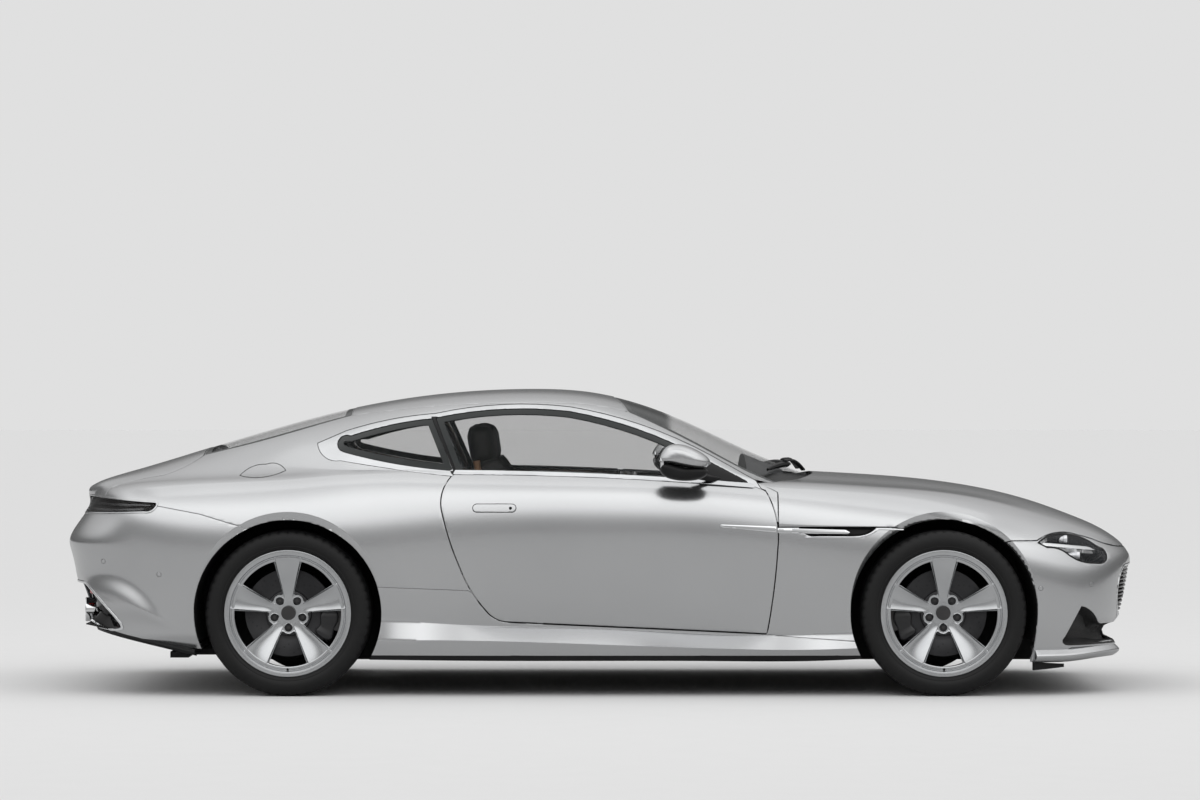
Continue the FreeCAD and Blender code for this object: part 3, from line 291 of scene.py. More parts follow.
WINDOW_BAND = side((690, 873), (660, 920), (466, 1029), ((174, 1157), (-139, 1236)),
                   ((-430, 1246), (-724, 1207)), ((-905, 1184), (-1112, 1132)),
                   (-1236, 1078), ((-1205, 1025), (-1130, 1006)), ((-880, 968), (-640, 940)),
                   ((0, 922), (690, 873)))
PILLAR_STRIP = side((-600, 930), (-715, 1194), (-742, 1194), (-646, 950))
BELT_STRIP = side((-640, 948), (-632, 966), ((0, 950), (640, 910)), (660, 890),
                  ((0, 934), (-640, 948)))
MIRROR_SAIL = side((415, 900), (440, 1016), (622, 923), (650, 885))
FLAP = side((-1562, 941), ((-1528, 971), (-1455, 988)), ((-1382, 979), (-1365, 962)),
            ((-1408, 945), (-1562, 941)))
HANDLE = side((-535, 821), (-385, 821), ((-368, 804), (-385, 787)), (-535, 787),
              ((-552, 804), (-535, 821)))
LOCK = side((-398, 804), ((-391, 811), (-384, 804)), ((-391, 797), (-398, 804)))
STRAKE = side((496, 735), (744, 726), (744, 700), (512, 722))
BLADE = side((750, 719), (1040, 712), (1062, 700), (1056, 694), (750, 697))
VENT_LIP = side((760, 680), (925, 684), (1072, 684), ((1125, 692), (1176, 720)), (1290, 716),
                (1290, 710), (1180, 712), ((1130, 684), (1076, 676)), (925, 676))
LAMP_BLADE = side((1878, 657), (2172, 626), (2180, 612), (1890, 642))
PIPE_EYE = side((-2225, 452), (-2175, 452), (-2150, 430), (-2215, 430))
STREAKS = (side((-1930, 818), (-2500, 830), (-2500, 822), (-1930, 813)),
           side((-1960, 797), (-2500, 800), (-2500, 790), (-1960, 792)))


# ---------------------------------------------------------------- the bodywork's surface

def natural_spline(knots: Sequence[float], values: Sequence[float]) -> Callable[[Array], Array]:
    """A natural cubic spline through the values at the knots, as a function of an array."""
    x, y = np.array(knots, float), np.array(values, float)
    h, count = np.diff(x), len(x)
    lhs, rhs = np.eye(count), np.zeros(count)
    for i in range(1, count - 1):
        lhs[i, i - 1:i + 2] = h[i - 1], 2 * (h[i - 1] + h[i]), h[i]
        rhs[i] = 6 * ((y[i + 1] - y[i]) / h[i] - (y[i] - y[i - 1]) / h[i - 1])
    bend = np.linalg.solve(lhs, rhs)

    def value(at: Array) -> Array:
        i = np.clip(np.searchsorted(x, at, side="right") - 1, 0, count - 2)
        left, right, step = at - x[i], x[i + 1] - at, h[i]
        curved = bend[i] * right * (right**2 - step**2) + bend[i + 1] * left * (left**2 - step**2)
        return (y[i] * right + y[i + 1] * left + curved / 6) / step

    return value


def fade(at: Array, start: float, end: float) -> Array:
    """0 before start, 1 after end, and smooth between."""
    t = np.clip((at - start) / (end - start), 0, 1)
    return t * t * (3 - 2 * t)


@dataclass(frozen=True)
class BodyForm:
    """The smooth surface that every panel is cut from."""

    upper: Upper
    nose: float = 2345.0
    past_end: float = 2352.0
    straight: float = 2196.0
    turn_steps: int = 18
    nose_from: float = 1600.0
    tail_from: float = 1500.0
    tip_from: float = 2280.0
    nose_height: float = 545.0
    tail_height: float = 640.0
    row_step: float = 14.0
    glass_bulge: float = 14.0
    glass_middle: float = -250.0
    belt_line: int = 5
    rocker_line: int = 9
    tuck: tuple = ((150, 75), (260, 55), (320, 22), (400, 26), (478, 30), (556, 22), (610, 9),
                   (650, 2), (690, 16), (725, 38), (771, 68), (800, 80), (838, 74), (872, 50),
                   (905, 16), (1000, 0))
    chin: tuple = ((150, 0), (220, 0), (250, 14), (280, 48), (310, 34), (350, 21), (400, 16),
                   (460, 11), (520, 5), (580, 0), (700, 0))
    lobe: float = 0.02
    tuck_reach: tuple = (1.98, 2.26)
    chin_reach: tuple = (2.02, 2.28)
    lobe_rise: float = 0.09
    lobe_reach: tuple = (0.55, 0.8)
    end_reach: float = 120.0

    def lines(self, at: Array) -> tuple[Array, Array]:
        """Control points of the sections.

        Args:
            at: Places along x, in millimetres.

        Returns:
            The points (n, lines, 2) as (y, z), and how sharp each is, from 0 to 1.
        """
        table = CABIN if self.upper is Upper.CABIN else BONNET
        found = []
        for rows in (table, SIDE):
            for column in range(1, len(rows[0])):
                found.append([natural_spline([row[0] for row in rows],
                                             [row[column][axis] for row in rows])(at)
                              for axis in (0, 1)])
        points = np.moveaxis(np.array(found), 2, 0)
        cabin = self.upper is Upper.CABIN
        bulge = self.glass_bulge * (1 - fade(np.abs(at - self.glass_middle), 850, 1100)) * cabin
        middle = (points[:, 3] + points[:, 4]) / 2 + bulge[:, None] * np.array([1, 0.7])
        points = np.concatenate([points[:, :4], middle[:, None], points[:, 4:]], axis=1)
        nose, tail, tip = (np.clip((far - start) / (self.past_end - start), 0, 1)
                           for far, start in ((at, self.nose_from), (-at, self.tail_from),
                                              (np.abs(at), self.tip_from)))
        width = (1 - nose**3) ** (1 / 2.4) * (1 - tail**3) ** (1 / 4)
        height = np.where(at > 0, (1 - tip**2.5) ** 0.5, 1 - 0.1 * tip**3)
        centre = np.where(at > 0, self.nose_height, self.tail_height)
        points[..., 0] *= width[:, None]
        points[..., 1] = centre[:, None] + (points[..., 1] - centre[:, None]) * height[:, None]
        under = np.stack([np.zeros_like(at), points[:, -1, 1]], axis=1)
        sharp = np.zeros((len(at), points.shape[1] + 1))
        sharp[:, self.belt_line] = fade(at, -1200, -1000) * (1 - fade(at, 600, 760)) * cabin
        sharp[:, self.rocker_line:] = 1
        return np.concatenate([points, under[:, None]], axis=1), sharp

    def grid(self, at: Array) -> Array:
        """Places on the right half of the surface.

        Args:
            at: Places along x, in millimetres.

        Returns:
            Places (rows, n, 3) in metres, row by row from the top's centre to under the car.
        """
        points, sharp = self.lines(at)
        rows = []
        for i in range(points.shape[1] - 1):
            start, end = points[:, i], points[:, i + 1]
            before = points[:, i - 1] if i else start * 0 + np.stack(
                [-points[:, 1, 0], points[:, 1, 1]], axis=1)
            after = points[:, i + 2] if i + 2 < points.shape[1] else end
            before = before + (2 * start - end - before) * sharp[:, i, None]
            after = after + (2 * end - start - after) * sharp[:, i + 1, None]
            length = np.max(np.linalg.norm(end - start, axis=1))
            for t in np.arange(0, 1, 1 / max(math.ceil(length / self.row_step), 2)):
                weights = ((1 - t) ** 3 / 6, (3 * t**3 - 6 * t**2 + 4) / 6,
                           (-3 * t**3 + 3 * t**2 + 3 * t + 1) / 6, t**3 / 6)
                rows.append(sum(w * p for w, p in zip(weights, (before, start, end, after))))
        rows.append(points[:, -1])
        rows[0][:, 0] = 0
        places = [np.stack([at, -row[:, 0], row[:, 1]], axis=1) for row in rows]
        return np.array(places) * MM

    def stations(self, low: float, high: float, step: float = 14.0) -> Array:
        """Places along x for columns of the surface, closer together towards both ends."""
        middle = np.arange(-self.straight, self.straight, step)
        turn = np.linspace(0, math.pi / 2, self.turn_steps)[1:]
        ends = self.straight + (self.nose - self.straight) * np.sin(turn)
        every = np.concatenate([-ends[::-1], middle, [self.straight - step / 3], ends])
        return every[(every > low - 3 * step) & (every < high + 3 * step)]


# ---------------------------------------------------------------- modelling steps

def deselect() -> None:
    """Leave edit mode and deselect everything."""
    if bpy.context.object and bpy.context.object.mode != "OBJECT":
        bpy.ops.object.mode_set(mode="OBJECT")
    bpy.ops.object.select_all(action="DESELECT")


def pick(obj: Obj) -> None:
    """Select one object alone and make it active."""
    deselect()
    obj.select_set(True)
    bpy.context.view_layer.objects.active = obj


@contextmanager
def editing(obj: Obj) -> Iterator[None]:
    """Open an object for editing with all of it selected, and close it afterwards."""
    pick(obj)
    bpy.ops.object.mode_set(mode="EDIT")
    bpy.ops.mesh.select_all(action="SELECT")
    yield
    bpy.ops.object.mode_set(mode="OBJECT")


def modify(obj: Obj, kind: str, **settings: object) -> None:
    """Add a modifier with the settings and apply it."""
    pick(obj)
    bpy.ops.object.modifier_add(type=kind)
    for key, value in settings.items():
        setattr(obj.modifiers[-1], key, value)
    bpy.ops.object.modifier_apply(modifier=obj.modifiers[-1].name)


def smooth(obj: Obj, angle: float = 35.0) -> Obj:
    """Shade an object smooth, with edges sharper than the angle in degrees kept."""
    pick(obj)
    bpy.ops.object.shade_smooth_by_angle(angle=math.radians(angle))
    return obj


def mend(obj: Obj, merge: float = 1e-5) -> Obj:
    """Merge doubled points and turn every face outwards."""
    with editing(obj):
        bpy.ops.mesh.remove_doubles(threshold=merge)
        bpy.ops.mesh.normals_make_consistent(inside=False)
    return obj


def flip(obj: Obj) -> None:
    """Turn every face the other way."""
    with editing(obj):
        bpy.ops.mesh.flip_normals()


def cap_ends(obj: Obj) -> Obj:
    """Merge a tube's seam and fill its open ends."""
    with editing(obj):
        bpy.ops.mesh.remove_doubles(threshold=SAME_PLACE)
        bpy.ops.mesh.select_all(action="DESELECT")
        bpy.ops.mesh.select_non_manifold()
        bpy.ops.mesh.fill_holes(sides=0)
    return obj


def duplicate(obj: Obj) -> Obj:
    """A copy of an object."""
    pick(obj)
    bpy.ops.object.duplicate()
    return bpy.context.object


def rename(obj: Obj, name: str) -> Obj:
    """Give an object and its mesh one name."""
    obj.name = obj.data.name = name
    return obj


def dress(obj: Obj, *finishes: "Stuff") -> Obj:
    """Give an object its finishes, in slot order."""
    obj.data.materials.clear()
    for finish in finishes:
        obj.data.materials.append(finish.value.material())
    return obj


def coordinates(obj: Obj, key: str = "co") -> Array:
    """The places of an object's points, or their normals."""
    found = np.empty(len(obj.data.vertices) * 3)
    obj.data.vertices.foreach_get(key, found)
    return found.reshape(-1, 3)


def put(obj: Obj, places: Array) -> Obj:
    """Move an object's points to the places."""
    obj.data.vertices.foreach_set("co", np.ascontiguousarray(places, dtype=float).ravel())
    obj.data.update()
    return obj


def grid_object(name: str, places: Array) -> Obj:
    """A sheet of faces through a grid of places.

    Args:
        name: The object's name.
        places: Places (rows, columns, 3); its front is on the side of rows x columns.
    """
    rows, columns = places.shape[:2]
    deselect()
    bpy.ops.mesh.primitive_grid_add(x_subdivisions=columns - 1, y_subdivisions=rows - 1)
    obj = put(rename(bpy.context.object, name), places.reshape(-1, 3))
    flip(obj)
    return obj


def sweep(name: str, path: Array, across: Array, up: Array, profile: Sequence[tuple],
          closed: bool = False, sizes: Optional[Array] = None) -> Obj:
    """A solid strip with one profile all along a path.

    Args:
        name: The object's name.
        path: Places (n, 3) along the middle.
        across: The profile's first direction at each place.
        up: Its second direction at each place.
        profile: Its corners as (across, up), round in one direction.
        closed: Whether the path joins its own start.
        sizes: The profile's size at each place, where it changes.
    """
    scale = np.ones(len(path)) if sizes is None else np.asarray(sizes)
    ring = list(profile) + [profile[0]]
    places = np.array([path + across * (a * scale)[:, None] + up * (b * scale)[:, None]
                       for a, b in ring])
    if closed:
        places = np.concatenate([places, places[:, :1]], axis=1)
    obj = grid_object(name, places)
    return mend(obj if closed else cap_ends(obj), SAME_PLACE)


def lathe(name: str, profile: Sequence[tuple], centre: Point, steps: int,
          axis: Point = LEFTWARD) -> Obj:
    """A ring or disc spun about an axle.

    Args:
        name: The object's name.
        profile: Corners as (distance along the axle from the centre, radius).
        centre: A point on the axle.
        steps: How many steps the spin takes.
        axis: The axle's direction, across the car unless it is given.
    """
    deselect()
    along = Vector(axis).normalized()
    aside = along.orthogonal().normalized()
    places = [Vector(centre) + along * far + aside * radius for far, radius in profile]
    bpy.ops.mesh.primitive_plane_add(location=places[0])
    obj = rename(bpy.context.object, name)
    bpy.ops.object.transform_apply(location=True)
    with editing(obj):
        bpy.ops.mesh.merge(type="CENTER")
        for before, after in zip(places, places[1:]):
            bpy.ops.mesh.extrude_region_move(TRANSFORM_OT_translate={"value": after - before})
        bpy.ops.mesh.select_all(action="SELECT")
        bpy.ops.mesh.spin(steps=steps, angle=math.tau, center=centre, axis=along)
    return mend(obj)


def tiled(count: int, *ways: Sequence[float]) -> list[Array]:
    """Each direction, repeated for every place of a path."""
    return [np.tile(np.array(way, float), (count, 1)) for way in ways]


def turned(name: str, profile: Sequence[tuple], centre: Point, finish: "Stuff", steps: int = 48,
           axis: Point = LEFTWARD, angle: float = 35.0) -> Obj:
    """A spun piece, smoothed and finished."""
    return dress(smooth(lathe(name, profile, centre, steps, axis), angle), finish)


def mirrored(obj: Obj, name: str) -> Obj:
    """A copy of a right-hand piece for the left side of the car."""
    copy = rename(duplicate(obj), name)
    put(copy, coordinates(copy) * ACROSS)
    flip(copy)
    return copy


def joined(name: str, pieces: Sequence[Obj]) -> Obj:
    """The pieces as one object."""
    pick(pieces[0])
    for piece in pieces[1:]:
        piece.select_set(True)
    if len(pieces) > 1:
        bpy.ops.object.join()
    return rename(pieces[0], name)


def delete(obj: Obj) -> None:
    """Take an object away."""
    bpy.data.objects.remove(obj, do_unlink=True)


class Sheet:
    """A smooth sheet that is trimmed along drawings, then thickened."""

    edge_round = EDGE_ROUND
    cut_slack = 0.0003
    bowl_margin = 0.003
    fillet_steps = (0.3, 1.0)

    def __init__(self, name: str, places: Array, down: Optional[Array] = None) -> None:
        """Lay out the sheet.

        Args:
            name: The piece's name.
            places: Places (rows, columns, 3); its front is on the side of rows x columns.
            down: The way that the first row runs, where it can't be measured.
        """
        along = np.gradient(places, axis=1)
        rows = np.gradient(places, axis=0)
        if down is not None:
            rows[0] = down
        outward = np.cross(rows, along)
        outward /= np.linalg.norm(outward, axis=2, keepdims=True) + 1e-12
        self.name, self.trims = name, []
        self.body = grid_object(name, places)
        for key, values in (("rest", places), ("outward", outward)):
            layer = self.body.data.attributes.new(key, "FLOAT_VECTOR", "POINT")
            layer.data.foreach_set("vector", values.reshape(-1, 3).ravel())

    def read(self, key: str) -> Array:
        """A direction or place that every point of the sheet carries."""
        found = np.empty(len(self.body.data.vertices) * 3)
        self.body.data.attributes[key].data.foreach_get("vector", found)
        return found.reshape(-1, 3)

    def split(self, measure: Measure, level: float, keep: int = 0) -> None:
        """Cut the sheet where the measure crosses the level.

        Args:
            measure: A number for each place.
            level: The level to cut at.
            keep: BELOW or ABOVE keeps what lies there, and 0 keeps both.
        """
        rest = self.read("rest")
        if not len(rest):
            raise ValueError(f"{self.name} has nothing left")
        flat = np.stack([rest[:, X], rest[:, Z] - rest[:, Y], measure(rest) - level], axis=1)
        put(self.body, flat)
        with editing(self.body):
            bpy.ops.mesh.bisect(plane_co=(0, 0, 0), plane_no=UPWARD, clear_outer=keep < 0,
                                clear_inner=keep > 0, threshold=self.cut_slack)
        put(self.body, self.read("rest"))

    def trim(self, measure: Measure, level: float, keep: int,
             rounded: bool = True) -> "Sheet":
        """Cut the sheet at the level, and score it for its rounded edge."""
        self.split(measure, level, keep)
        if rounded:
            for share in self.fillet_steps:
                self.split(measure, level + keep * share * self.edge_round)
            self.trims.append((measure, level))
        return self

    def inside(self, drawing: Drawing, grow: float = 0.0) -> "Sheet":
        """Keep what lies in the drawing, grown by so many metres."""
        return self.trim(drawing.distance, grow, BELOW)

    def outside(self, drawing: Drawing, grow: float = 0.0) -> "Sheet":
        """Keep what lies out of the drawing, grown by so many metres."""
        return self.trim(drawing.distance, grow, ABOVE)

    def off_arch(self, x: float, radius: float = ARCH_RADIUS) -> "Sheet":
        """Keep what lies out of the wheel arch round an axle."""
        return self.trim(lambda p: np.hypot(p[:, X] - x, p[:, Z] - AXLE_HEIGHT),
                         radius, 1)

    def beyond(self, axis: int, level: float, keep: int = ABOVE) -> "Sheet":
        """Keep what lies past a level along an axis, with a square edge."""
        return self.trim(lambda p: p[:, axis], level, keep, rounded=False)

    def only(self, place: Point) -> "Sheet":
        """Keep the loose part that comes nearest to the place."""
        rest = self.read("rest")
        nearest = int(np.argmin(np.linalg.norm(rest - np.array(place), axis=1)))
        with editing(self.body):
            bpy.ops.mesh.select_all(action="DESELECT")
        self.body.data.vertices[nearest].select = True
        bpy.ops.object.mode_set(mode="EDIT")
        bpy.ops.mesh.select_mode(type="VERT")
        bpy.ops.mesh.select_linked()
        bpy.ops.mesh.select_all(action="INVERT")
        bpy.ops.mesh.delete(type="VERT")
        bpy.ops.object.mode_set(mode="OBJECT")
        return self

    def measured(self, key: str, measure: Measure) -> "Sheet":
        """Write a number on every point, for a finish to read."""
        layer = self.body.data.attributes.new(key, "FLOAT", "POINT")
        layer.data.foreach_set("value", measure(self.read("rest")))
        return self

    def moved(self, shift: Callable[[Array, Array], Array]) -> "Sheet":
        """Move the points by a function of their places and outward directions."""
        rest, outward = self.read("rest"), self.read("outward")
        layer = self.body.data.attributes["rest"]
        layer.data.foreach_set("vector", (rest + shift(rest, outward)).ravel())
        put(self.body, self.read("rest"))
        return self

    def lifted(self, height: float) -> "Sheet":
        """Move the whole sheet outwards, or inwards where the height is negative."""
        return self.moved(lambda places, outward: outward * height)

    def sunk(self, measure: Measure, depth: float, wall: float, rim: float,
             steps: Sequence[float] = (0.1, 0.35, 0.65, 1.0)) -> "Sheet":
        """Keep what the measure puts inside, sunk as a bowl.

        Args:
            measure: Distance from the bowl's outline.
            depth: How deep it is.
            wall: How wide its wall is.
            rim: How far its edge already lies under the surface.
            steps: Shares of the wall where it has a row of points.
        """
        self.trim(measure, self.bowl_margin, BELOW, rounded=False)
        for share in steps:
            self.split(measure, -wall * share)
        return self.moved(lambda p, n: -n * (rim + depth * fade(-measure(p), 0, wall))[:, None])

    def bowl(self, drawing: Drawing, depth: float, wall: float = 0.02,
             rim: float = 0.003) -> "Sheet":
        """Keep what lies in the drawing, sunk as a bowl whose wall is so wide."""
        return self.sunk(drawing.distance, depth, wall, rim)

    def flared(self, x: float, height: float = ARCH_LIP,
               depth: float = 0.016) -> "Sheet":
        """Cut the wheel arch round an axle, with a crescent turned in along its edge."""
        self.off_arch(x)

        def crescent(p: Array) -> Array:
            radius = np.hypot(p[:, X] - x, p[:, Z] - AXLE_HEIGHT)
            rise = np.clip((p[:, Z] - AXLE_HEIGHT) / np.maximum(radius, SAME_PLACE), 0, 1)
            return radius - ARCH_RADIUS - height * rise**1.2

        for level in (0.0025, 0.0, -0.0025):
            self.split(crescent, level)
        return self.moved(lambda p, n: -n * (depth * np.clip(-crescent(p) / height, 0, 1)
                                             )[:, None])

    def sheet_only(self) -> Obj:
        """The trimmed sheet with its edges rounded, and no thickness."""
        rest, outward = self.read("rest"), self.read("outward")
        edge = np.full(len(rest), 1.0)
        for measure, level in self.trims:
            edge = np.minimum(edge, np.abs(measure(rest) - level))
        r = self.edge_round
        sunk = r - np.sqrt(np.maximum(r * r - np.clip(r - edge, 0, r) ** 2, 0))
        put(self.body, rest - outward * sunk[:, None])
        with editing(self.body):
            bpy.ops.mesh.remove_doubles(threshold=SAME_PLACE)
            bpy.ops.mesh.delete_loose()
        for key in ("rest", "outward"):
            self.body.data.attributes.remove(self.body.data.attributes[key])
        return self.body

    def made(self, thickness: float, both: bool = False, sharp: float = 35.0) -> Obj:
        """Round the trimmed edges, thicken the sheet inwards and smooth it.

        Args:
            thickness: The panel's thickness in metres.
            both: Whether it runs on across the car's middle.
            sharp: Edges sharper than this, in degrees, stay sharp.
        """
        self.sheet_only()
        if both:
            modify(self.body, "MIRROR", use_axis=(False, True, False), merge_threshold=1e-5)
        modify(self.body, "SOLIDIFY", thickness=thickness, offset=-1.0, use_even_offset=False,
               material_offset=1, material_offset_rim=0)
        return smooth(self.body, sharp)


def skin(name: str, upper: Upper, low: float, high: float, fine: float = 1) -> Sheet:
    """A sheet of the bodywork's right half.

    Args:
        name: The panel's name.
        upper: Which upper body it is part of.
        low: Where it starts along x, in millimetres.
        high: Where it ends.
        fine: How many times closer together its points are than a large panel's.

    Returns:
        The sheet, closed across the nose or tail where it reaches that far.
    """
    form = BodyForm(upper, row_step=BodyForm.row_step / fine)
    places = form.grid(form.stations(low, high, BodyForm.row_step / fine))
    for end, centre in ((0, form.tail_height), (-1, form.nose_height)):
        last = places[:, end]
        reaches = abs(last[0, X]) > (form.nose - form.end_reach) * MM
        if reaches and abs(high if end else low) >= form.nose:
            middle = np.array([last[:, X].mean(), 0, centre * MM])
            caps = np.stack([middle + (last - middle) * share
                             for share in np.arange(0.9, -0.01, -0.1)], axis=1)
            places = np.concatenate([places, caps] if end else [caps[:, ::-1], places], axis=1)
    tuck, chin = (natural_spline(*zip(*table))(
        np.clip(places[..., Z] / MM, table[0][0], table[-1][0])) * MM
                  for table in (form.tuck, form.chin))
    places[..., X] += tuck * fade(-places[..., X], *form.tuck_reach)
    places[..., X] -= chin * fade(places[..., X], *form.chin_reach)
    if upper is Upper.CABIN and low < -form.tail_from:
        inside = -EXHAUST_LOBE.distance(places.reshape(-1, 3)).reshape(places.shape[:2])
        out = fade(-places[..., Y], *form.lobe_reach)
        places[..., Y] -= form.lobe * fade(inside, 0, form.lobe_rise) * out
    return Sheet(name, places, down=(0, -1, 0))


# ---------------------------------------------------------------- finishes

class Nodes:
    """The nodes of a material or a group, with short ways to add and join them."""

    def __init__(self, tree: bpy.types.NodeTree) -> None:
        """Start on a tree."""
        self.tree = tree

    def link(self, start: bpy.types.NodeSocket, end: bpy.types.NodeSocket) -> None:
        """Join an output to an input."""
        self.tree.links.new(start, end)

    def add(self, kind: str, inputs: Optional[dict] = None, **settings: object) -> Node:
        """Add a node.

        Args:
            kind: Its type, without the ShaderNode in front.
            inputs: Values, or sockets to join, by input name or number.
            settings: The node's own settings.

        Returns:
            The node.
        """
        made = self.tree.nodes.new(f"ShaderNode{kind}")
        for key, value in settings.items():
            setattr(made, key, value)
        for key, value in (inputs or {}).items():
            if isinstance(value, bpy.types.NodeSocket):
                self.link(value, made.inputs[key])
            else:
                made.inputs[key].default_value = value
        return made

    def grouped(self, tree: bpy.types.NodeTree, **values: float) -> Node:
        """Add a node group, with values by input name."""
        made = self.add("Group", node_tree=tree)
        for key, value in values.items():
            made.inputs[key].default_value = value
        return made

    def math(self, operation: str, *values: object) -> bpy.types.NodeSocket:
        """The result of one sum on numbers or sockets."""
        return self.add("Math", dict(enumerate(values)), operation=operation).outputs[0]

    def mix(self, share: object, first: object, second: object) -> bpy.types.NodeSocket:
        """A colour between two, by the share of the second."""
        made = self.add("Mix", {0: share, 6: first, 7: second}, data_type="RGBA")
        return made.outputs[2]

    def between(self, share: object, low: float, high: float) -> bpy.types.NodeSocket:
        """A number between low and high, by a share from 0 to 1."""
        return self.add("MapRange", {"Value": share, "To Min": low, "To Max": high}).outputs[0]


def group(name: str, inputs: dict, outputs: Sequence[str],
          fill: Callable[[Nodes, Node, Node], None]) -> bpy.types.NodeTree:
    """A shader node group, built once.

    Args:
        name: Its name.
        inputs: Default numbers by input name.
        outputs: Names of its number outputs.
        fill: Adds the nodes between its input node and its output node.

    Returns:
        The group.
    """
    if name in bpy.data.node_groups:
        return bpy.data.node_groups[name]
    tree = bpy.data.node_groups.new(name, "ShaderNodeTree")
    number = "NodeSocketFloat"
    for key, value in inputs.items():
        made = tree.interface.new_socket(key, in_out="INPUT", socket_type=number)
        made.default_value = value
    for key in outputs:
        tree.interface.new_socket(key, in_out="OUTPUT", socket_type=number)
    fill(Nodes(tree), tree.nodes.new("NodeGroupInput"), tree.nodes.new("NodeGroupOutput"))
    return tree


def surface_group() -> bpy.types.NodeTree:
    """Broad patches and fine grain on a surface, each from 0 to 1."""

    def fill(nodes: Nodes, given: Node, result: Node) -> None:
        where = nodes.add("TexCoord").outputs["Object"]
        broad = nodes.add("TexNoise", {"Vector": where, "Scale": given.outputs["Patches"],
                                       "Detail": 4.0})
        fine = nodes.add("TexNoise", {"Vector": where, "Scale": given.outputs["Grain"],
                                      "Detail": 3.0})
        nodes.link(broad.outputs[0], result.inputs["Broad"])
        nodes.link(fine.outputs[0], result.inputs["Fine"])

    return group("Surface variation", {"Patches": 6.0, "Grain": 400.0}, ("Broad", "Fine"), fill)


def pebble_group() -> bpy.types.NodeTree:
    """Leather's or moulded plastic's pebbles, high in the middle, and the creases between."""

    def fill(nodes: Nodes, given: Node, result: Node) -> None:
        where = nodes.add("TexCoord").outputs["Object"]
        drift = nodes.add("TexNoise", {"Vector": where, "Scale": 60.0})
        where = nodes.add("Mix", {0: 0.02, 4: where, 5: drift.outputs["Color"]},
                          data_type="VECTOR").outputs[1]
        cells = nodes.add("TexVoronoi", {"Vector": where, "Scale": given.outputs["Pebbles"]},
                          feature="DISTANCE_TO_EDGE")
        height = nodes.add("MapRange", {"Value": cells.outputs[0], "From Max": 0.25},
                           interpolation_type="SMOOTHSTEP").outputs[0]
        nodes.link(height, result.inputs["Height"])
        nodes.link(nodes.math("SUBTRACT", 1.0, height), result.inputs["Crease"])

    return group("Pebbled skin", {"Pebbles": 500.0}, ("Height", "Crease"), fill)


@dataclass(frozen=True)
class Finish:
    """A surface finish, with broad variation of colour and gloss, and a fine relief."""

    name: str
    colour: tuple
    other: tuple
    gloss: tuple = (0.3, 0.4)
    metallic: float = 0.0
    patches: float = 6.0
    grain: float = 400.0
    relief: float = 0.0
    coat: float = 0.0
    coat_gloss: float = 0.05
    pebbles: float = 0.0
    sheen: float = 0.0
    specular: float = 0.5

    def material(self) -> Material:
        """The finish as a material, made once."""
        if self.name in bpy.data.materials:
            return bpy.data.materials[self.name]
        made = bpy.data.materials.new(self.name)
        made.use_nodes = True
        nodes = Nodes(made.node_tree)
        shader = made.node_tree.nodes["Principled BSDF"]
        for key, value in (("Metallic", self.metallic), ("Coat Weight", self.coat),
                           ("Coat Roughness", self.coat_gloss), ("Sheen Weight", self.sheen),
                           ("Specular IOR Level", self.specular)):
            shader.inputs[key].default_value = value
        self.fill(nodes, shader)
        return made

    def fill(self, nodes: Nodes, shader: Node) -> None:
        """Join the variation and the relief to the shader, with painted shade in a pebbled finish's
        creases.
        """
        vary = nodes.grouped(surface_group(), Patches=self.patches, Grain=self.grain)
        broad = nodes.add("MapRange", {"Value": vary.outputs["Broad"], "From Min": 0.3,
                                       "From Max": 0.7}).outputs[0]
        height = vary.outputs["Fine"]
        colour = nodes.mix(broad, (*self.colour, 1), (*self.other, 1))
        # a pebbled finish is also darker in the creases between its pebbles: painted shade
        if self.pebbles:
            pebbled = nodes.grouped(pebble_group(), Pebbles=self.pebbles)
            height = pebbled.outputs["Height"]
            colour = nodes.mix(nodes.math("MULTIPLY", pebbled.outputs["Crease"], 0.6), colour,
                               (*[c * 0.4 for c in self.colour], 1))
        nodes.link(colour, shader.inputs["Base Color"])
        gloss = nodes.between(nodes.math("MULTIPLY_ADD", broad, 0.5,
                                         nodes.math("MULTIPLY", vary.outputs["Fine"], 0.5)),
                              *self.gloss)
        nodes.link(gloss, shader.inputs["Roughness"])
        if self.relief:
            bump = nodes.add("Bump", {"Height": height, "Distance": self.relief, "Strength": 0.6})
            nodes.link(bump.outputs[0], shader.inputs["Normal"])


@dataclass(frozen=True)
class MetalPaint(Finish):
    """Metallic paint: bright flakes under a clear coat."""

    flake: float = 2500.0

    def fill(self, nodes: Nodes, shader: Node) -> None:
        """Add the flakes, each a small cell of its own brightness, to the usual variation."""
        super().fill(nodes, shader)
        where = nodes.add("TexCoord").outputs["Object"]
        cells = nodes.add("TexVoronoi", {"Vector": where, "Scale": self.flake}).outputs["Color"]
        shade = nodes.add("SeparateColor", {0: cells}).outputs[0]
        base = shader.inputs["Base Color"].links[0].from_socket
        bright = nodes.mix(nodes.between(shade, 0.0, 0.16), base, (0.9, 0.92, 0.95, 1))
        nodes.link(bright, shader.inputs["Base Color"])


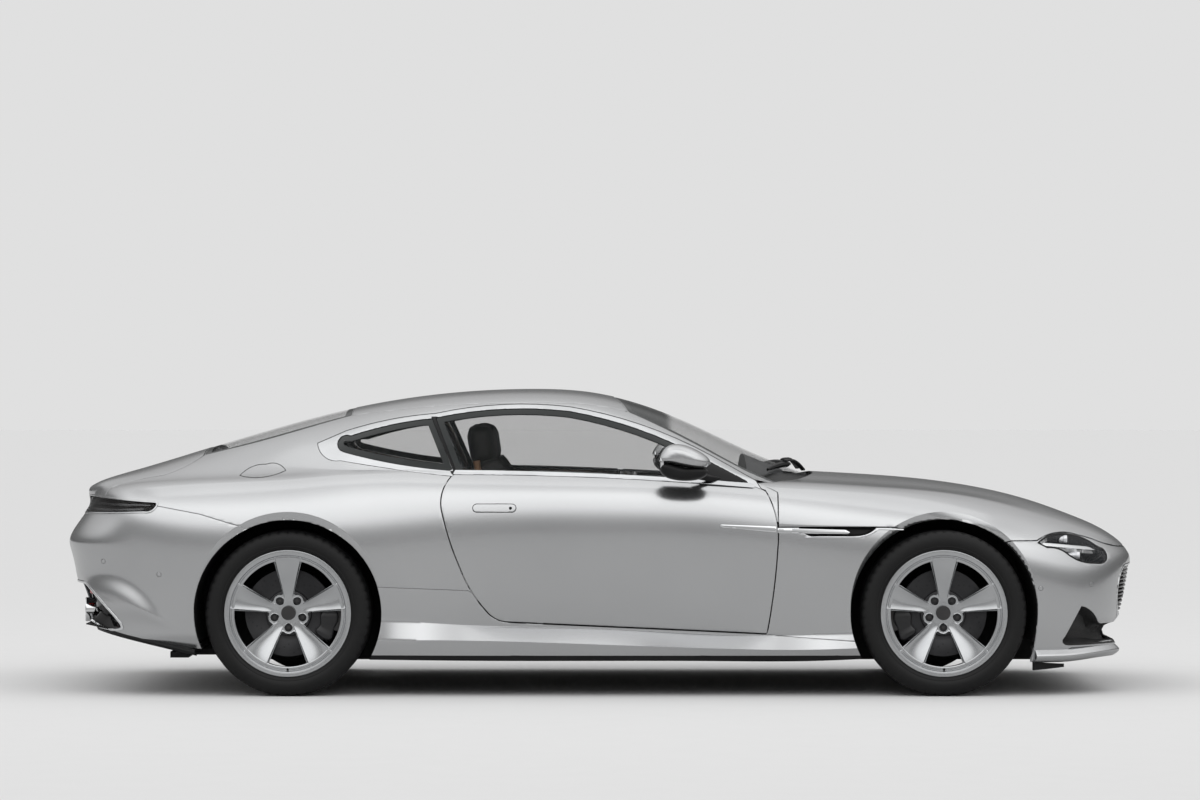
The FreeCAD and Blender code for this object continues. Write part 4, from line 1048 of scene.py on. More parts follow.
@dataclass(frozen=True)
class Glazing(Finish):
    """Window glass, see-through, with a printed black border along its edge."""

    clear: float = 0.25
    glance: float = 0.4
    border: float = 0.0
    band: float = 0.62

    def fill(self, nodes: Nodes, shader: Node) -> None:
        """Make the pane clear, more mirror-like at a glance, and black in its border."""
        super().fill(nodes, shader)
        seen = nodes.math("POWER", nodes.add("LayerWeight", {"Blend": 0.5}).outputs["Facing"], 4.0)
        alpha = nodes.math("MULTIPLY_ADD", seen, self.glance, self.clear)
        band = nodes.add("Attribute", attribute_name="sunband").outputs["Fac"]
        alpha = nodes.math("MULTIPLY_ADD", band, self.band, alpha)
        if self.border:
            edge = nodes.add("Attribute", attribute_name="from_edge").outputs["Fac"]
            solid = nodes.math("LESS_THAN", edge, self.border)
            alpha = nodes.math("MAXIMUM", alpha, solid)
        nodes.link(nodes.math("MINIMUM", alpha, 1.0), shader.inputs["Alpha"])


class Stuff(Enum):
    """Every finish on the car."""

    PAINT = MetalPaint("silver paint", (0.49, 0.495, 0.5), (0.52, 0.525, 0.53), (0.2, 0.24), 0.94,
                       patches=2.0, coat=0.4, coat_gloss=0.06)
    PAINT_BACK = Finish("primer inside panels", (0.05, 0.052, 0.055), (0.06, 0.062, 0.065),
                        (0.5, 0.65))
    GLOSS_BLACK = Finish("gloss black trim", (0.004, 0.004, 0.0045), (0.007, 0.007, 0.0075),
                         (0.06, 0.1), specular=0.2)
    SATIN_BLACK = Finish("satin black plastic", (0.008, 0.008, 0.0085), (0.013, 0.013, 0.0135),
                         (0.38, 0.5), relief=0.0002, grain=900.0, specular=0.2)
    GLASS = Glazing("window glass", (0.016, 0.019, 0.019), (0.02, 0.023, 0.023), (0.015, 0.03),
                    clear=0.14, glance=0.12, border=0.026, specular=0.3)
    LENS = Glazing("clear lens", (0.4, 0.42, 0.44), (0.45, 0.47, 0.5), (0.01, 0.02), clear=0.02,
                   glance=0.15)
    SMOKED = Glazing("smoked lens", (0.008, 0.007, 0.007), (0.012, 0.01, 0.01), (0.02, 0.04),
                     clear=0.35, specular=0.3)
    CHROME = Finish("bright chrome", (0.78, 0.79, 0.8), (0.84, 0.85, 0.86), (0.05, 0.09), 1.0)
    SATIN_CHROME = Finish("satin chrome", (0.6, 0.61, 0.62), (0.68, 0.69, 0.7), (0.2, 0.26), 1.0)
    ALLOY = Finish("silver wheel lacquer", (0.46, 0.47, 0.48), (0.52, 0.53, 0.54), (0.2, 0.27),
                   0.94, coat=0.5, coat_gloss=0.1, relief=0.00005, grain=1500.0)
    RUBBER = Finish("tyre rubber", (0.0055, 0.0055, 0.006), (0.0085, 0.0085, 0.0085), (0.5, 0.62),
                    relief=0.0003, grain=700.0, specular=0.3)
    DISC = Finish("brake disc iron", (0.035, 0.035, 0.037), (0.06, 0.06, 0.062), (0.35, 0.5), 0.9,
                  relief=0.0001, grain=1200.0)
    IRON = Finish("cast iron", (0.04, 0.04, 0.043), (0.065, 0.062, 0.06), (0.5, 0.65), 0.6,
                  relief=0.0006, grain=300.0)
    CALIPER = Finish("black caliper paint", (0.01, 0.01, 0.011), (0.016, 0.016, 0.017),
                     (0.25, 0.35), relief=0.0002)
    LEATHER = Finish("black leather", (0.02, 0.019, 0.018), (0.028, 0.026, 0.025), (0.42, 0.55),
                     relief=0.0004, pebbles=650.0)
    TAN = Finish("tan leather", (0.36, 0.2, 0.105), (0.41, 0.235, 0.13), (0.42, 0.55),
                 relief=0.0004, pebbles=650.0)
    CARPET = Finish("loop carpet", (0.018, 0.018, 0.02), (0.03, 0.03, 0.032), (0.85, 0.95),
                    relief=0.003, pebbles=900.0, sheen=0.3)
    SUEDE = Finish("suede lining", (0.05, 0.048, 0.046), (0.062, 0.06, 0.057), (0.8, 0.9),
                   relief=0.0004, grain=1500.0, sheen=0.4)
    REFLECTOR = Finish("lamp reflector", (0.8, 0.81, 0.83), (0.86, 0.87, 0.89), (0.12, 0.2), 0.4)
    LINER = Finish("arch liner felt", (0.008, 0.008, 0.008), (0.014, 0.014, 0.014), (0.8, 0.9),
                   relief=0.001, pebbles=300.0)
    MESH = Finish("black intake mesh", (0.006, 0.006, 0.006), (0.03, 0.03, 0.03), (0.4, 0.5),
                  relief=0.004, pebbles=110.0)
    RED = Finish("red lens", (0.35, 0.01, 0.01), (0.4, 0.015, 0.012), (0.08, 0.12), coat=0.5)


# ---------------------------------------------------------------- the bodywork

GAP = 0.0045  # shut lines
SNUG = 0.001  # fixed joints
LAMP_INNER, PIPE_INNER = 0.4, 0.37  # where the tail lamps and the exhaust mouths end inwards
LID_SEAM = 0.8445  # the rear bumper's upper edge under the boot lid


FOOT, FOOT_SLOPE, FOOT_FROM, FOOT_REACH = 0.184, 0.226, 1.70, 0.55  # the rear bumper's edge
LID_FOOT = 0.85


def tail_foot(x: Array) -> Array:
    """Height of the rear bumper's lower edge at places along x."""
    return FOOT + FOOT_SLOPE * np.clip(-x - FOOT_FROM, 0, FOOT_REACH)


def off_arches(piece: Obj, reach: float = 0.1, inner: float = 0.6) -> Obj:
    """Move the points of a panel that reach just into a wheel arch out to its edge."""
    places, edge = coordinates(piece), ARCH_RADIUS
    for axle in (FRONT_AXLE, REAR_AXLE):
        offset = places[:, ::2] - (axle, AXLE_HEIGHT)
        radius = np.hypot(*offset.T)
        near = (radius > edge - reach) & (radius < edge) & (np.abs(places[:, Y]) > inner)
        places[near, ::2] += offset[near] * (edge / radius[near] - 1)[:, None]
    return put(piece, places)


def lamp_outline(places: Array) -> Array:
    """Distance from the tail lamps' outline, which stops short of the car's middle."""
    return np.maximum(TAIL_LAMP.distance(places), LAMP_INNER - np.abs(places[:, Y]))


def pipe_outline(places: Array) -> Array:
    """Distance from the exhaust mouths' outline."""
    return np.maximum(EXHAUST.distance(places), PIPE_INNER - np.abs(places[:, Y]))


def patch(name: str, upper: Upper, drawing: Drawing, lift: float, thickness: float,
          finish: Stuff, less: Sequence[Drawing] = (), grow: float = 0.0,
          margin: float = 0.03, fine: float = 2) -> Obj:
    """A piece that lies on the bodywork, in a drawing's outline.

    Args:
        name: Its name.
        upper: The upper body that it lies on.
        drawing: Its outline on the side or in plan.
        lift: How far its face stands out from the bodywork.
        thickness: How thick it is.
        finish: Its material.
        less: Drawings that are left out of it.
        grow: How much larger than the drawing it is.
        margin: How much further along the car the sheet is laid than the drawing.
        fine: How many times closer together its points are than a large panel's.
    """
    low, high = drawing.corners().min(axis=0) - margin, drawing.corners().max(axis=0) + margin
    sheet = skin(name, upper, low[0] / MM, high[0] / MM, fine)
    if drawing.view is View.SIDE:
        sheet.beyond(Z, low[1]).beyond(Z, high[1], BELOW)
    sheet.lifted(lift).edge_round = min(EDGE_ROUND, thickness / 2)
    sheet.inside(drawing, grow)
    for other in less:
        sheet.outside(other, SNUG)
    return dress(sheet.made(thickness), finish)


def keep(piece: Obj, body: str, *nodes: str, slot: str = "trim") -> None:
    """Put a finished piece on its body.

    Args:
        piece: The piece.
        body: The body that it moves with.
        nodes: Plain solids that it stands for.
        slot: Not used.
    """
    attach(piece, body)
    if nodes:
        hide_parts(*nodes)
    log.info("%s rides on %s", piece.name, body)


def keep_pair(right: Obj, body: str, *nodes: str, slot: str = "trim") -> None:
    """Put a right-hand piece and its mirrored copy on their bodies.

    Args:
        right: The piece, whose name starts with right_.
        body: The right one's body; the left one's has left in place of right.
        nodes: Plain solids that the right one stands for.
        slot: Not used; it is only passed on to keep.
    """
    left = mirrored(right, right.name.replace("right", "left"))
    keep(right, body, *nodes, slot=slot)
    keep(left, body.replace("right", "left"),
         *[node.replace("right", "left") for node in nodes if "right" in node], slot=slot)


@dataclass
class Bodywork:
    """The painted panels."""

    thickness: float = 0.022
    # top of the satin black band along the sill's foot, which is painted shade
    sill_foot: float = 0.174
    front_flare: float = 0.04

    @staticmethod
    def tail_part(places: Array) -> Array:
        """Distance from the rear bumper's edge, with the middle strip between the lamps in it."""
        middle = np.maximum(np.abs(places[:, Y]) - LAMP_INNER, places[:, X] + 2.1)
        return np.minimum(REAR_BUMPER_EDGE.distance(places), middle)

    @staticmethod
    def behind_wheel(places: Array) -> Array:
        """Distance ahead of the front arch's edge, which drops steeply under the axle."""
        under = AXLE_HEIGHT - places[:, Z]
        edge = FRONT_AXLE + ARCH_RADIUS - 0.6 * under**2
        return np.where(under > 0, places[:, X] - edge, 1.0)

    def painted(self, sheet: Sheet, both: bool = False) -> Obj:
        """A sheet made into a painted panel."""
        panel = off_arches(sheet.made(self.thickness, both))
        return dress(panel, Stuff.PAINT, Stuff.PAINT_BACK)

    def roof(self) -> None:
        """The roof panel between the windscreen, the rear window and the rails."""
        sheet = skin("roof", Upper.CABIN, -1110, 130).beyond(Z, 0.88).inside(ROOF)
        keep(self.painted(sheet, both=True), "body", "roof_panel", slot="paint")

    def sides(self) -> None:
        """Each rear wing, with the pillars and the rail over the windows."""
        sheet = skin("right_side", Upper.CABIN, -2345, 800)
        sheet.beyond(Y, -0.2, BELOW).beyond(Z, 0.25).outside(DOOR, GAP).outside(DOOR_GLASS, 0.006)
        sheet.outside(QUARTER_GLASS, SNUG).outside(ROOF, SNUG).outside(WINDSCREEN, SNUG)
        sheet.outside(REAR_WINDOW, SNUG).outside(SILL, SNUG).trim(self.tail_part, SNUG, ABOVE)
        sheet.trim(lamp_outline, SNUG, ABOVE)
        sheet.outside(BONNET_PLAN, GAP).outside(BOOT_LID, GAP).flared(REAR_AXLE)
        right = self.painted(sheet.only((REAR_AXLE, -0.95, 0.8)))
        keep_pair(right, "body", "body_sides", slot="paint")

    def doors(self) -> None:
        """The outer skin of each door."""
        sheet = skin("right_door_skin", Upper.CABIN, -700, 770).beyond(Z, 0.2).inside(DOOR)
        right = self.painted(sheet.only((0, -0.94, 0.7)))
        keep_pair(right, "right_door", "right_door", slot="paint")

    def bonnet(self) -> None:
        """The bonnet, which wraps over both wings."""
        sheet = skin("bonnet_skin", Upper.BONNET, 560, 2345).beyond(Z, 0.5)
        sheet.inside(BONNET_EDGE).inside(BONNET_PLAN).outside(DOOR, GAP)
        sheet.flared(FRONT_AXLE, depth=self.front_flare)
        panel = self.painted(sheet.only((FRONT_AXLE, 0, 0.91)), both=True)
        keep(panel, "bonnet", "bonnet", slot="paint")

    def wings(self) -> None:
        """Each fixed wing behind the front wheel."""
        sheet = skin("right_wing", Upper.BONNET, 640, 1462).beyond(Z, 0.18).beyond(X, 0.7)
        sheet.beyond(X, FRONT_AXLE, BELOW).outside(BONNET_EDGE, GAP).outside(DOOR, GAP)
        sheet.outside(SILL, SNUG).outside(VENT).flared(FRONT_AXLE, depth=self.front_flare)
        right = self.painted(sheet.only((0.9, -0.94, 0.6)))
        keep_pair(right, "body", "front_fenders", slot="paint")

    def front_bumper(self) -> None:
        """The nose below the bonnet."""
        sheet = skin("front_bumper_skin", Upper.BONNET, 1462, 2345).beyond(X, FRONT_AXLE)
        sheet.trim(lambda p: p[:, Z] - 0.06 * fade(p[:, X], 1.94, 2.02), 0.146, 1, rounded=False)
        sheet.outside(BONNET_EDGE, GAP).outside(HEADLAMP, 0.002)
        sheet.trim(self.behind_wheel, 0.0, ABOVE)
        sheet.trim(lambda p: np.where(p[:, X] > 2, GRILLE.distance(p), 1.0), SNUG, 1)
        sheet.outside(INTAKE).flared(FRONT_AXLE, depth=self.front_flare)
        keep(self.painted(sheet, both=True), "body", "front_bumper", slot="paint")

    def rear(self) -> None:
        """The boot lid and the rear bumper."""
        lid = skin("boot_lid_skin", Upper.CABIN, -2345, -1740).inside(BOOT_LID)
        lid.beyond(Z, LID_FOOT)
        keep(self.painted(lid, both=True), "boot_lid", "boot_lid", slot="paint")
        sheet = skin("rear_bumper_skin", Upper.CABIN, -2345, -1500).trim(self.tail_part, 0.0, BELOW)
        sheet.trim(lambda p: p[:, Z] - tail_foot(p[:, X]), 0.0, 1, rounded=False).flared(REAR_AXLE)
        sheet.trim(lamp_outline, SNUG, ABOVE)
        sheet.trim(pipe_outline, SNUG, ABOVE)
        sheet.trim(lambda p: np.where(p[:, Z] > LID_SEAM, BOOT_LID.distance(p), 1.0), GAP, 1)
        keep(self.painted(sheet, both=True), "body", "rear_bumper", slot="paint")

    def sills(self) -> None:
        """The sill under each door, with a satin black band along its foot that is painted shade:
        it stands in for the dark reflection of the shadowed floor under the car.
        """
        sheet = skin("right_sill", Upper.CABIN, -1000, 1200).inside(SILL).outside(DOOR, GAP)
        sheet.beyond(Y, -0.675, BELOW).off_arch(REAR_AXLE).off_arch(FRONT_AXLE)
        sheet.split(lambda p: p[:, Z], self.sill_foot)
        sill = self.painted(sheet)
        # the faces under the band's top are satin black: painted shade along the sill's foot
        sill.data.materials.append(Stuff.SATIN_BLACK.value.material())
        heights, black = coordinates(sill)[:, Z], len(sill.data.materials) - 1
        for face in sill.data.polygons:
            if max(heights[corner] for corner in face.vertices) < self.sill_foot + SNUG:
                face.material_index = black
        keep_pair(sill, "body", "sills", slot="paint")

    def build(self) -> None:
        """Make every panel."""
        for make in (self.roof, self.sides, self.doors, self.bonnet, self.wings,
                     self.front_bumper, self.rear, self.sills):
            make()


@dataclass
class Windows:
    """The panes, with their printed borders."""

    pane: float = 0.005
    depth: float = 0.002
    sunband: tuple = (0.26, 0.32)

    def one(self, name: str, drawing: Drawing, low: float, high: float, both: bool,
            clear_of: Sequence[Drawing] = ()) -> Obj:
        """A pane cut along its drawing, less what lies in the other drawings."""
        sheet = skin(name, Upper.CABIN, low, high).lifted(-self.depth).beyond(Z, 0.86)
        sheet.inside(drawing)
        for other in clear_of:
            sheet.outside(other, SNUG)
        sheet.measured("from_edge", lambda p: -drawing.distance(p))
        if drawing is WINDSCREEN:
            sheet.measured("sunband", lambda p: 1 - fade(p[:, X], *self.sunband))
        return dress(sheet.made(self.pane, both), Stuff.GLASS)

    def build(self) -> None:
        """Make every pane."""
        for name, drawing, low, high in (("windscreen", WINDSCREEN, 40, 900),
                                         ("rear_window", REAR_WINDOW, -1740, -1100)):
            keep(self.one(f"{name}_pane", drawing, low, high, True), "body", name, slot="glass")
        keep_pair(self.one("right_quarter_pane", QUARTER_GLASS, -1160, -620, False), "body",
                  "quarter_windows", slot="glass")
        keep_pair(self.one("right_door_pane", DOOR_GLASS, -760, 660, False, (DOOR,)),
                  "right_door", "right_door_glass", slot="glass")


# ---------------------------------------------------------------- trims

class Probe:
    """Finds places on the bodywork by looking at it along a line."""

    def __init__(self, upper: Upper) -> None:
        """Lay out one upper body to look at."""
        body = skin("probe", upper, -2345, 2345).sheet_only()
        self.tree = BVHTree.FromObject(body, bpy.context.evaluated_depsgraph_get())
        delete(body)

    def seen(self, start: Sequence[float], way: Sequence[float]) -> tuple[Array, Array]:
        """The first place that a line from start meets, and the way it faces."""
        place, normal, _, _ = self.tree.ray_cast(Vector(start), Vector(way).normalized())
        if place is None:
            raise ValueError(f"nothing along {way} from {start}")
        return np.array(place), np.array(normal)

    def path(self, starts: Sequence[Sequence[float]], way: Sequence[float],
             lift: float = 0.0) -> tuple[Array, Array]:
        """Places met by lines from the starts, lifted off the surface, and the ways they face."""
        found = [self.seen(start, way) for start in starts]
        normals = np.array([normal for _, normal in found])
        return np.array([place for place, _ in found]) + normals * lift, normals

    def round(self, middle: float, height: float, first: float, last: float,
              count: int) -> tuple[Array, Array]:
        """Places round the nose or tail at a height, and the level ways that they face.

        Args:
            middle: The place along x that the lines look at.
            height: The height to look at.
            first: The first line's angle from +X, in degrees.
            last: The last line's angle.
            count: How many lines.
        """
        places, ways = [], []
        for angle in np.radians(np.linspace(first, last, count)):
            out = np.array([math.cos(angle), -abs(math.sin(angle)), 0])
            place, normal = self.seen(np.array([middle, 0, height]) + out * 3, -out)
            flip = np.array([1, -1 if math.sin(angle) > 0 else 1, 1])
            normal[2] = 0
            places.append(place * flip)
            ways.append(normal * flip / np.linalg.norm(normal))
        return np.array(places), np.array(ways)


@dataclass
class Brightwork:
    """Bright and black trims round the windows, on the doors and on the wings."""

    sensor: float = 9.5
    eyes: tuple = ((Upper.CABIN, -2144, 573), (Upper.CABIN, -1892, 521),
                   (Upper.BONNET, 1874, 462), (Upper.BONNET, 2106, 474))

    def windows(self) -> None:
        """The bright band round the side windows, with the black strip on the pillar."""
        openings = (DOOR_GLASS, QUARTER_GLASS)
        for name, drawing, lift, thickness, finish, less, grow, body, slot in (
                ("window_seam", WINDOW_BAND, 0.0003, 0.002, Stuff.GLOSS_BLACK,
                 (DOOR, *openings), 0.003, "body", "trim"),
                ("window_band", WINDOW_BAND, 0.002, 0.004, Stuff.SATIN_CHROME,
                 (DOOR, *openings, PILLAR_STRIP), 0, "body", "chrome"),
                ("pillar_strip", PILLAR_STRIP, 0.0025, 0.004, Stuff.GLOSS_BLACK,
                 (*openings, DOOR), 0, "body", "black"),
                ("belt_strip", BELT_STRIP, 0.003, 0.005, Stuff.SATIN_CHROME,
                 (QUARTER_GLASS,), 0, "right_door", "chrome"),
                ("mirror_sail", MIRROR_SAIL, 0.0005, 0.006, Stuff.SATIN_BLACK,
                 (BELT_STRIP,), 0, "right_door", "black")):
            trim = patch(f"right_{name}", Upper.CABIN, drawing, lift, thickness, finish, less, grow)
            keep_pair(trim, body, slot=slot)

    def doors(self) -> None:
        """The flush door handles with their dark joints, and the strakes."""
        joint = patch("right_handle_joint", Upper.CABIN, HANDLE, 0.0004, 0.002,
                      Stuff.GLOSS_BLACK, grow=0.0028, fine=4)
        grip = patch("right_handle", Upper.CABIN, HANDLE, 0.0022, 0.004, Stuff.PAINT, fine=4)
        lock = patch("right_lock", Upper.CABIN, LOCK, 0.0028, 0.002, Stuff.GLOSS_BLACK,
                     margin=0.01, fine=8)
        keep_pair(joined("right_door_handle", [joint, grip, lock]), "right_door", slot="paint")
        strake = patch("right_strake", Upper.CABIN, STRAKE, 0.0035, 0.006, Stuff.CHROME)
        keep_pair(strake, "right_door", slot="chrome")

    def vents(self) -> None:
        """Each wing's vent: a dark recess with a bright blade across it and a bright lip."""
        recess = skin("right_vent_recess", Upper.BONNET, 800, 1220, 2).beyond(Z, 0.6)
        recess.bowl(VENT, 0.022, 0.012, 0.001)
        keep_pair(dress(recess.made(0.002), Stuff.SATIN_BLACK), "body", slot="black")
        blade = patch("right_vent_blade", Upper.BONNET, BLADE, 0.002, 0.008, Stuff.CHROME)
        lip = patch("right_vent_lip", Upper.BONNET, VENT_LIP, 0.0025, 0.005, Stuff.SATIN_CHROME)
        keep_pair(joined("right_vent_trim", [blade, lip]), "body", slot="chrome")

    def small(self) -> None:
        """The fuel flap's joint and the parking sensors."""
        joint = skin("fuel_flap_joint", Upper.CABIN, -1600, -1330, 4).beyond(Y, -0.5, BELOW)
        joint.beyond(Z, 0.9).lifted(0.0004)
        joint.edge_round = 0.0004
        joint.inside(FLAP, 0.0014).outside(FLAP, -0.0014)
        keep(dress(joint.made(0.002), Stuff.GLOSS_BLACK), "body", slot="black")
        eyes = []
        for upper, x, z in self.eyes:
            for grow, lift, finish in ((1.6, 0.0003, Stuff.SATIN_BLACK), (0, 0.0008, Stuff.PAINT)):
                r = self.sensor + grow
                disc = side((x - r, z), ((x, z + r), (x + r, z)), ((x, z - r), (x - r, z)))
                eyes.append(patch("sensor", upper, disc, lift, 0.002, finish, margin=0.01, fine=6))
        keep_pair(joined("right_sensors", eyes), "body", slot="paint")

    def build(self) -> None:
        """Make every trim."""
        for make in (self.windows, self.doors, self.vents, self.small):
            make()


@dataclass
class Lamps:
    """The head lamps and tail lamps, each a bowl with its pieces behind a lens."""

    head_depth: float = 0.07
    tube: float = 0.017

    def projector(self, x: float, z: float, length: float, probe: Probe) -> Obj:
        """A bright tube that points forwards, with a ringed lens in its mouth."""
        place, _ = probe.seen((x, -2, z), LEFTWARD)
        centre = place + np.array([0, 0.034, 0])
        r = self.tube
        barrel = [(-length, 0.0), (-length, r * 0.72), (-0.012, r * 0.9), (-0.01, r), (0.004, r),
                  (0.005, r * 0.94), (0.003, r * 0.88), (-0.002, r * 0.84), (-0.002, 0.0)]
        lens = [(-0.001, r * 0.84), (0.003, r * 0.7), (0.0065, r * 0.4), (0.008, 0.0)]
        return joined("projector", [
            turned("barrel", barrel, centre, Stuff.REFLECTOR, 32, FORWARD),
            turned("bulb_lens", lens, centre, Stuff.CHROME, 24, FORWARD)])

    def head(self) -> None:
        """Each head lamp: dark bowl, two projectors, the bright blade between, and the lens."""
        def layer(name: str, lift: float = 0.0) -> Sheet:
            return skin(name, Upper.BONNET, 1820, 2300, 2).beyond(Y, -0.45, BELOW).lifted(lift)

        probe = Probe(Upper.BONNET)
        bowl = layer("bowl").bowl(HEADLAMP, self.head_depth, 0.03).made(0.002)
        blade = layer("blade", -0.012).inside(HEADLAMP, -0.002).inside(LAMP_BLADE).made(0.03)
        rim = layer("rim", -0.0002)
        rim.edge_round = 0.0004
        rim = rim.inside(HEADLAMP, 0.0005).outside(HEADLAMP, -0.004).made(0.004)
        pieces = [dress(bowl, Stuff.GLOSS_BLACK), dress(blade, Stuff.CHROME),
                  dress(rim, Stuff.GLOSS_BLACK), self.projector(2.0, 0.666, 0.095, probe),
                  self.projector(2.052, 0.596, 0.075, probe)]
        keep_pair(joined("right_headlamp", pieces), "body", "headlamps", slot="lamp")
        lens = layer("right_headlamp_lens", -0.0005).inside(HEADLAMP, -0.0005).made(0.003)
        keep_pair(dress(lens, Stuff.LENS), "body", slot="lamp")

    def tail(self) -> None:
        """Each tail lamp: a black bowl, two light bars and a smoked lens over them."""
        def layer(name: str, lift: float, grow: float) -> Sheet:
            sheet = skin(name, Upper.CABIN, -2345, -1860, 2).beyond(Y, -0.3, BELOW).lifted(lift)
            return sheet.trim(lamp_outline, grow, BELOW)

        back = dress(layer("back", -0.02, 0.004).made(0.003), Stuff.GLOSS_BLACK)
        bars = [dress(layer("bar", -0.006, -0.006).inside(streak).made(0.01), Stuff.SATIN_CHROME)
                for streak in STREAKS]
        lip = layer("right_tail_lamp_lip", 0.003, 0.007).trim(lamp_outline, 0.0, ABOVE).made(0.006)
        keep_pair(dress(lip, Stuff.PAINT), "body", slot="paint")
        keep_pair(joined("right_tail_lamp", [back, *bars]), "body", "tail_lamps", slot="red_lamp")
        lens = dress(layer("right_tail_lens", -0.001, -0.0006).made(0.003), Stuff.SMOKED)
        keep_pair(lens, "body", slot="red_lamp")

    def build(self) -> None:
        """Make all four lamps."""
        self.head()
        self.tail()


@dataclass
class Nose:
    """The grille, the lower mouth with its side intakes, and the splitter."""

    slats: int = 13
    frame: float = 0.009
    lip_height: float = 0.172
    lip_rise: float = 0.014

    def grille(self) -> None:
        """A dark bowl behind level slats, in a bright frame."""
        back = skin("grille_back", Upper.BONNET, 2000, 2345)
        back = dress(back.beyond(X, 2.1).bowl(GRILLE, 0.06, 0.012).made(0.003, both=True),
                     Stuff.SATIN_BLACK)
        ring = skin("frame", Upper.BONNET, 2000, 2345).beyond(X, 2.1).lifted(0.001)
        ring.inside(GRILLE).outside(GRILLE, -self.frame)
        ring = dress(ring.made(0.02, both=True), Stuff.CHROME)
        probe, bars = Probe(Upper.BONNET), []
        outline = GRILLE.corners()
        for number in range(self.slats):
            z = outline[:, 1].min() + (number + 1) * np.ptp(outline[:, 1]) / (self.slats + 1)
            y = np.linspace(-0.6, 0.6, 61)
            inside = GRILLE.distance(np.stack([y * 0, y, y * 0 + z], axis=1)) < -self.frame / 2
            y = y[inside]
            path = np.array([probe.seen((3, -abs(a), z), (-1, 0, 0))[0] for a in y])
            path = np.stack([path[:, X] - 0.016, y, path[:, Z]], axis=1)
            slat = sweep("slat", path, *tiled(len(y), FORWARD, UPWARD),
                         rounded(0.022, 0.01, 0.003, 3))
            bars.append(dress(smooth(slat), Stuff.GLOSS_BLACK))
        keep(joined("front_grille", [back, ring, *bars]), "body", "grille", slot="mesh")

    def mouth(self) -> None:
        """The lower mouth: a dark meshed recess from one flank round to the other."""
        recess = skin("lower_mouth", Upper.BONNET, 1940, 2345).beyond(X, 1.9)
        recess.bowl(INTAKE, 0.055, 0.02)
        keep(dress(recess.made(0.003, both=True), Stuff.MESH), "body", slot="mesh")

    def splitter(self) -> None:
        """The painted splitter, with the black deflectors under its ends."""
        places, ways = Probe(Upper.BONNET).round(1.6, 0.215, -74.3, 74.3, 97)
        path = places - ways * 0.01
        path[:, Z] = self.lip_height + self.lip_rise * fade(places[:, X], 1.97, 2.2)
        up = tiled(len(path), UPWARD)[0]
        lip = [(-0.06, 0.04), (-0.006, 0.038), (0.008, 0.02), (0.022, 0.007), (0.027, 0.001),
               (0.028, -0.004), (0.024, -0.012), (0.008, -0.024), (-0.004, -0.03), (-0.06, -0.03)]
        blade = sweep("splitter", path, ways, up, lip)
        modify(blade, "BEVEL", width=0.003, segments=3, limit_method="ANGLE")
        keep(dress(smooth(blade), Stuff.PAINT), "body", "front_splitter", slot="paint")
        under = path - ways * 0.02 - up * 0.046
        taper = np.linspace(1.0, 0.4, 7)
        ends = [smooth(sweep("deflector", under[part], ways[part], up[part],
                             rounded(0.02, 0.036, 0.004), sizes=sizes))
                for part, sizes in ((slice(0, 7), taper), (slice(90, 97), taper[::-1]))]
        ends = dress(joined("splitter_deflectors", ends), Stuff.SATIN_BLACK)
        keep(ends, "body", slot="black")

    def build(self) -> None:
        """Make the nose."""
        self.grille()
        self.mouth()
        self.splitter()


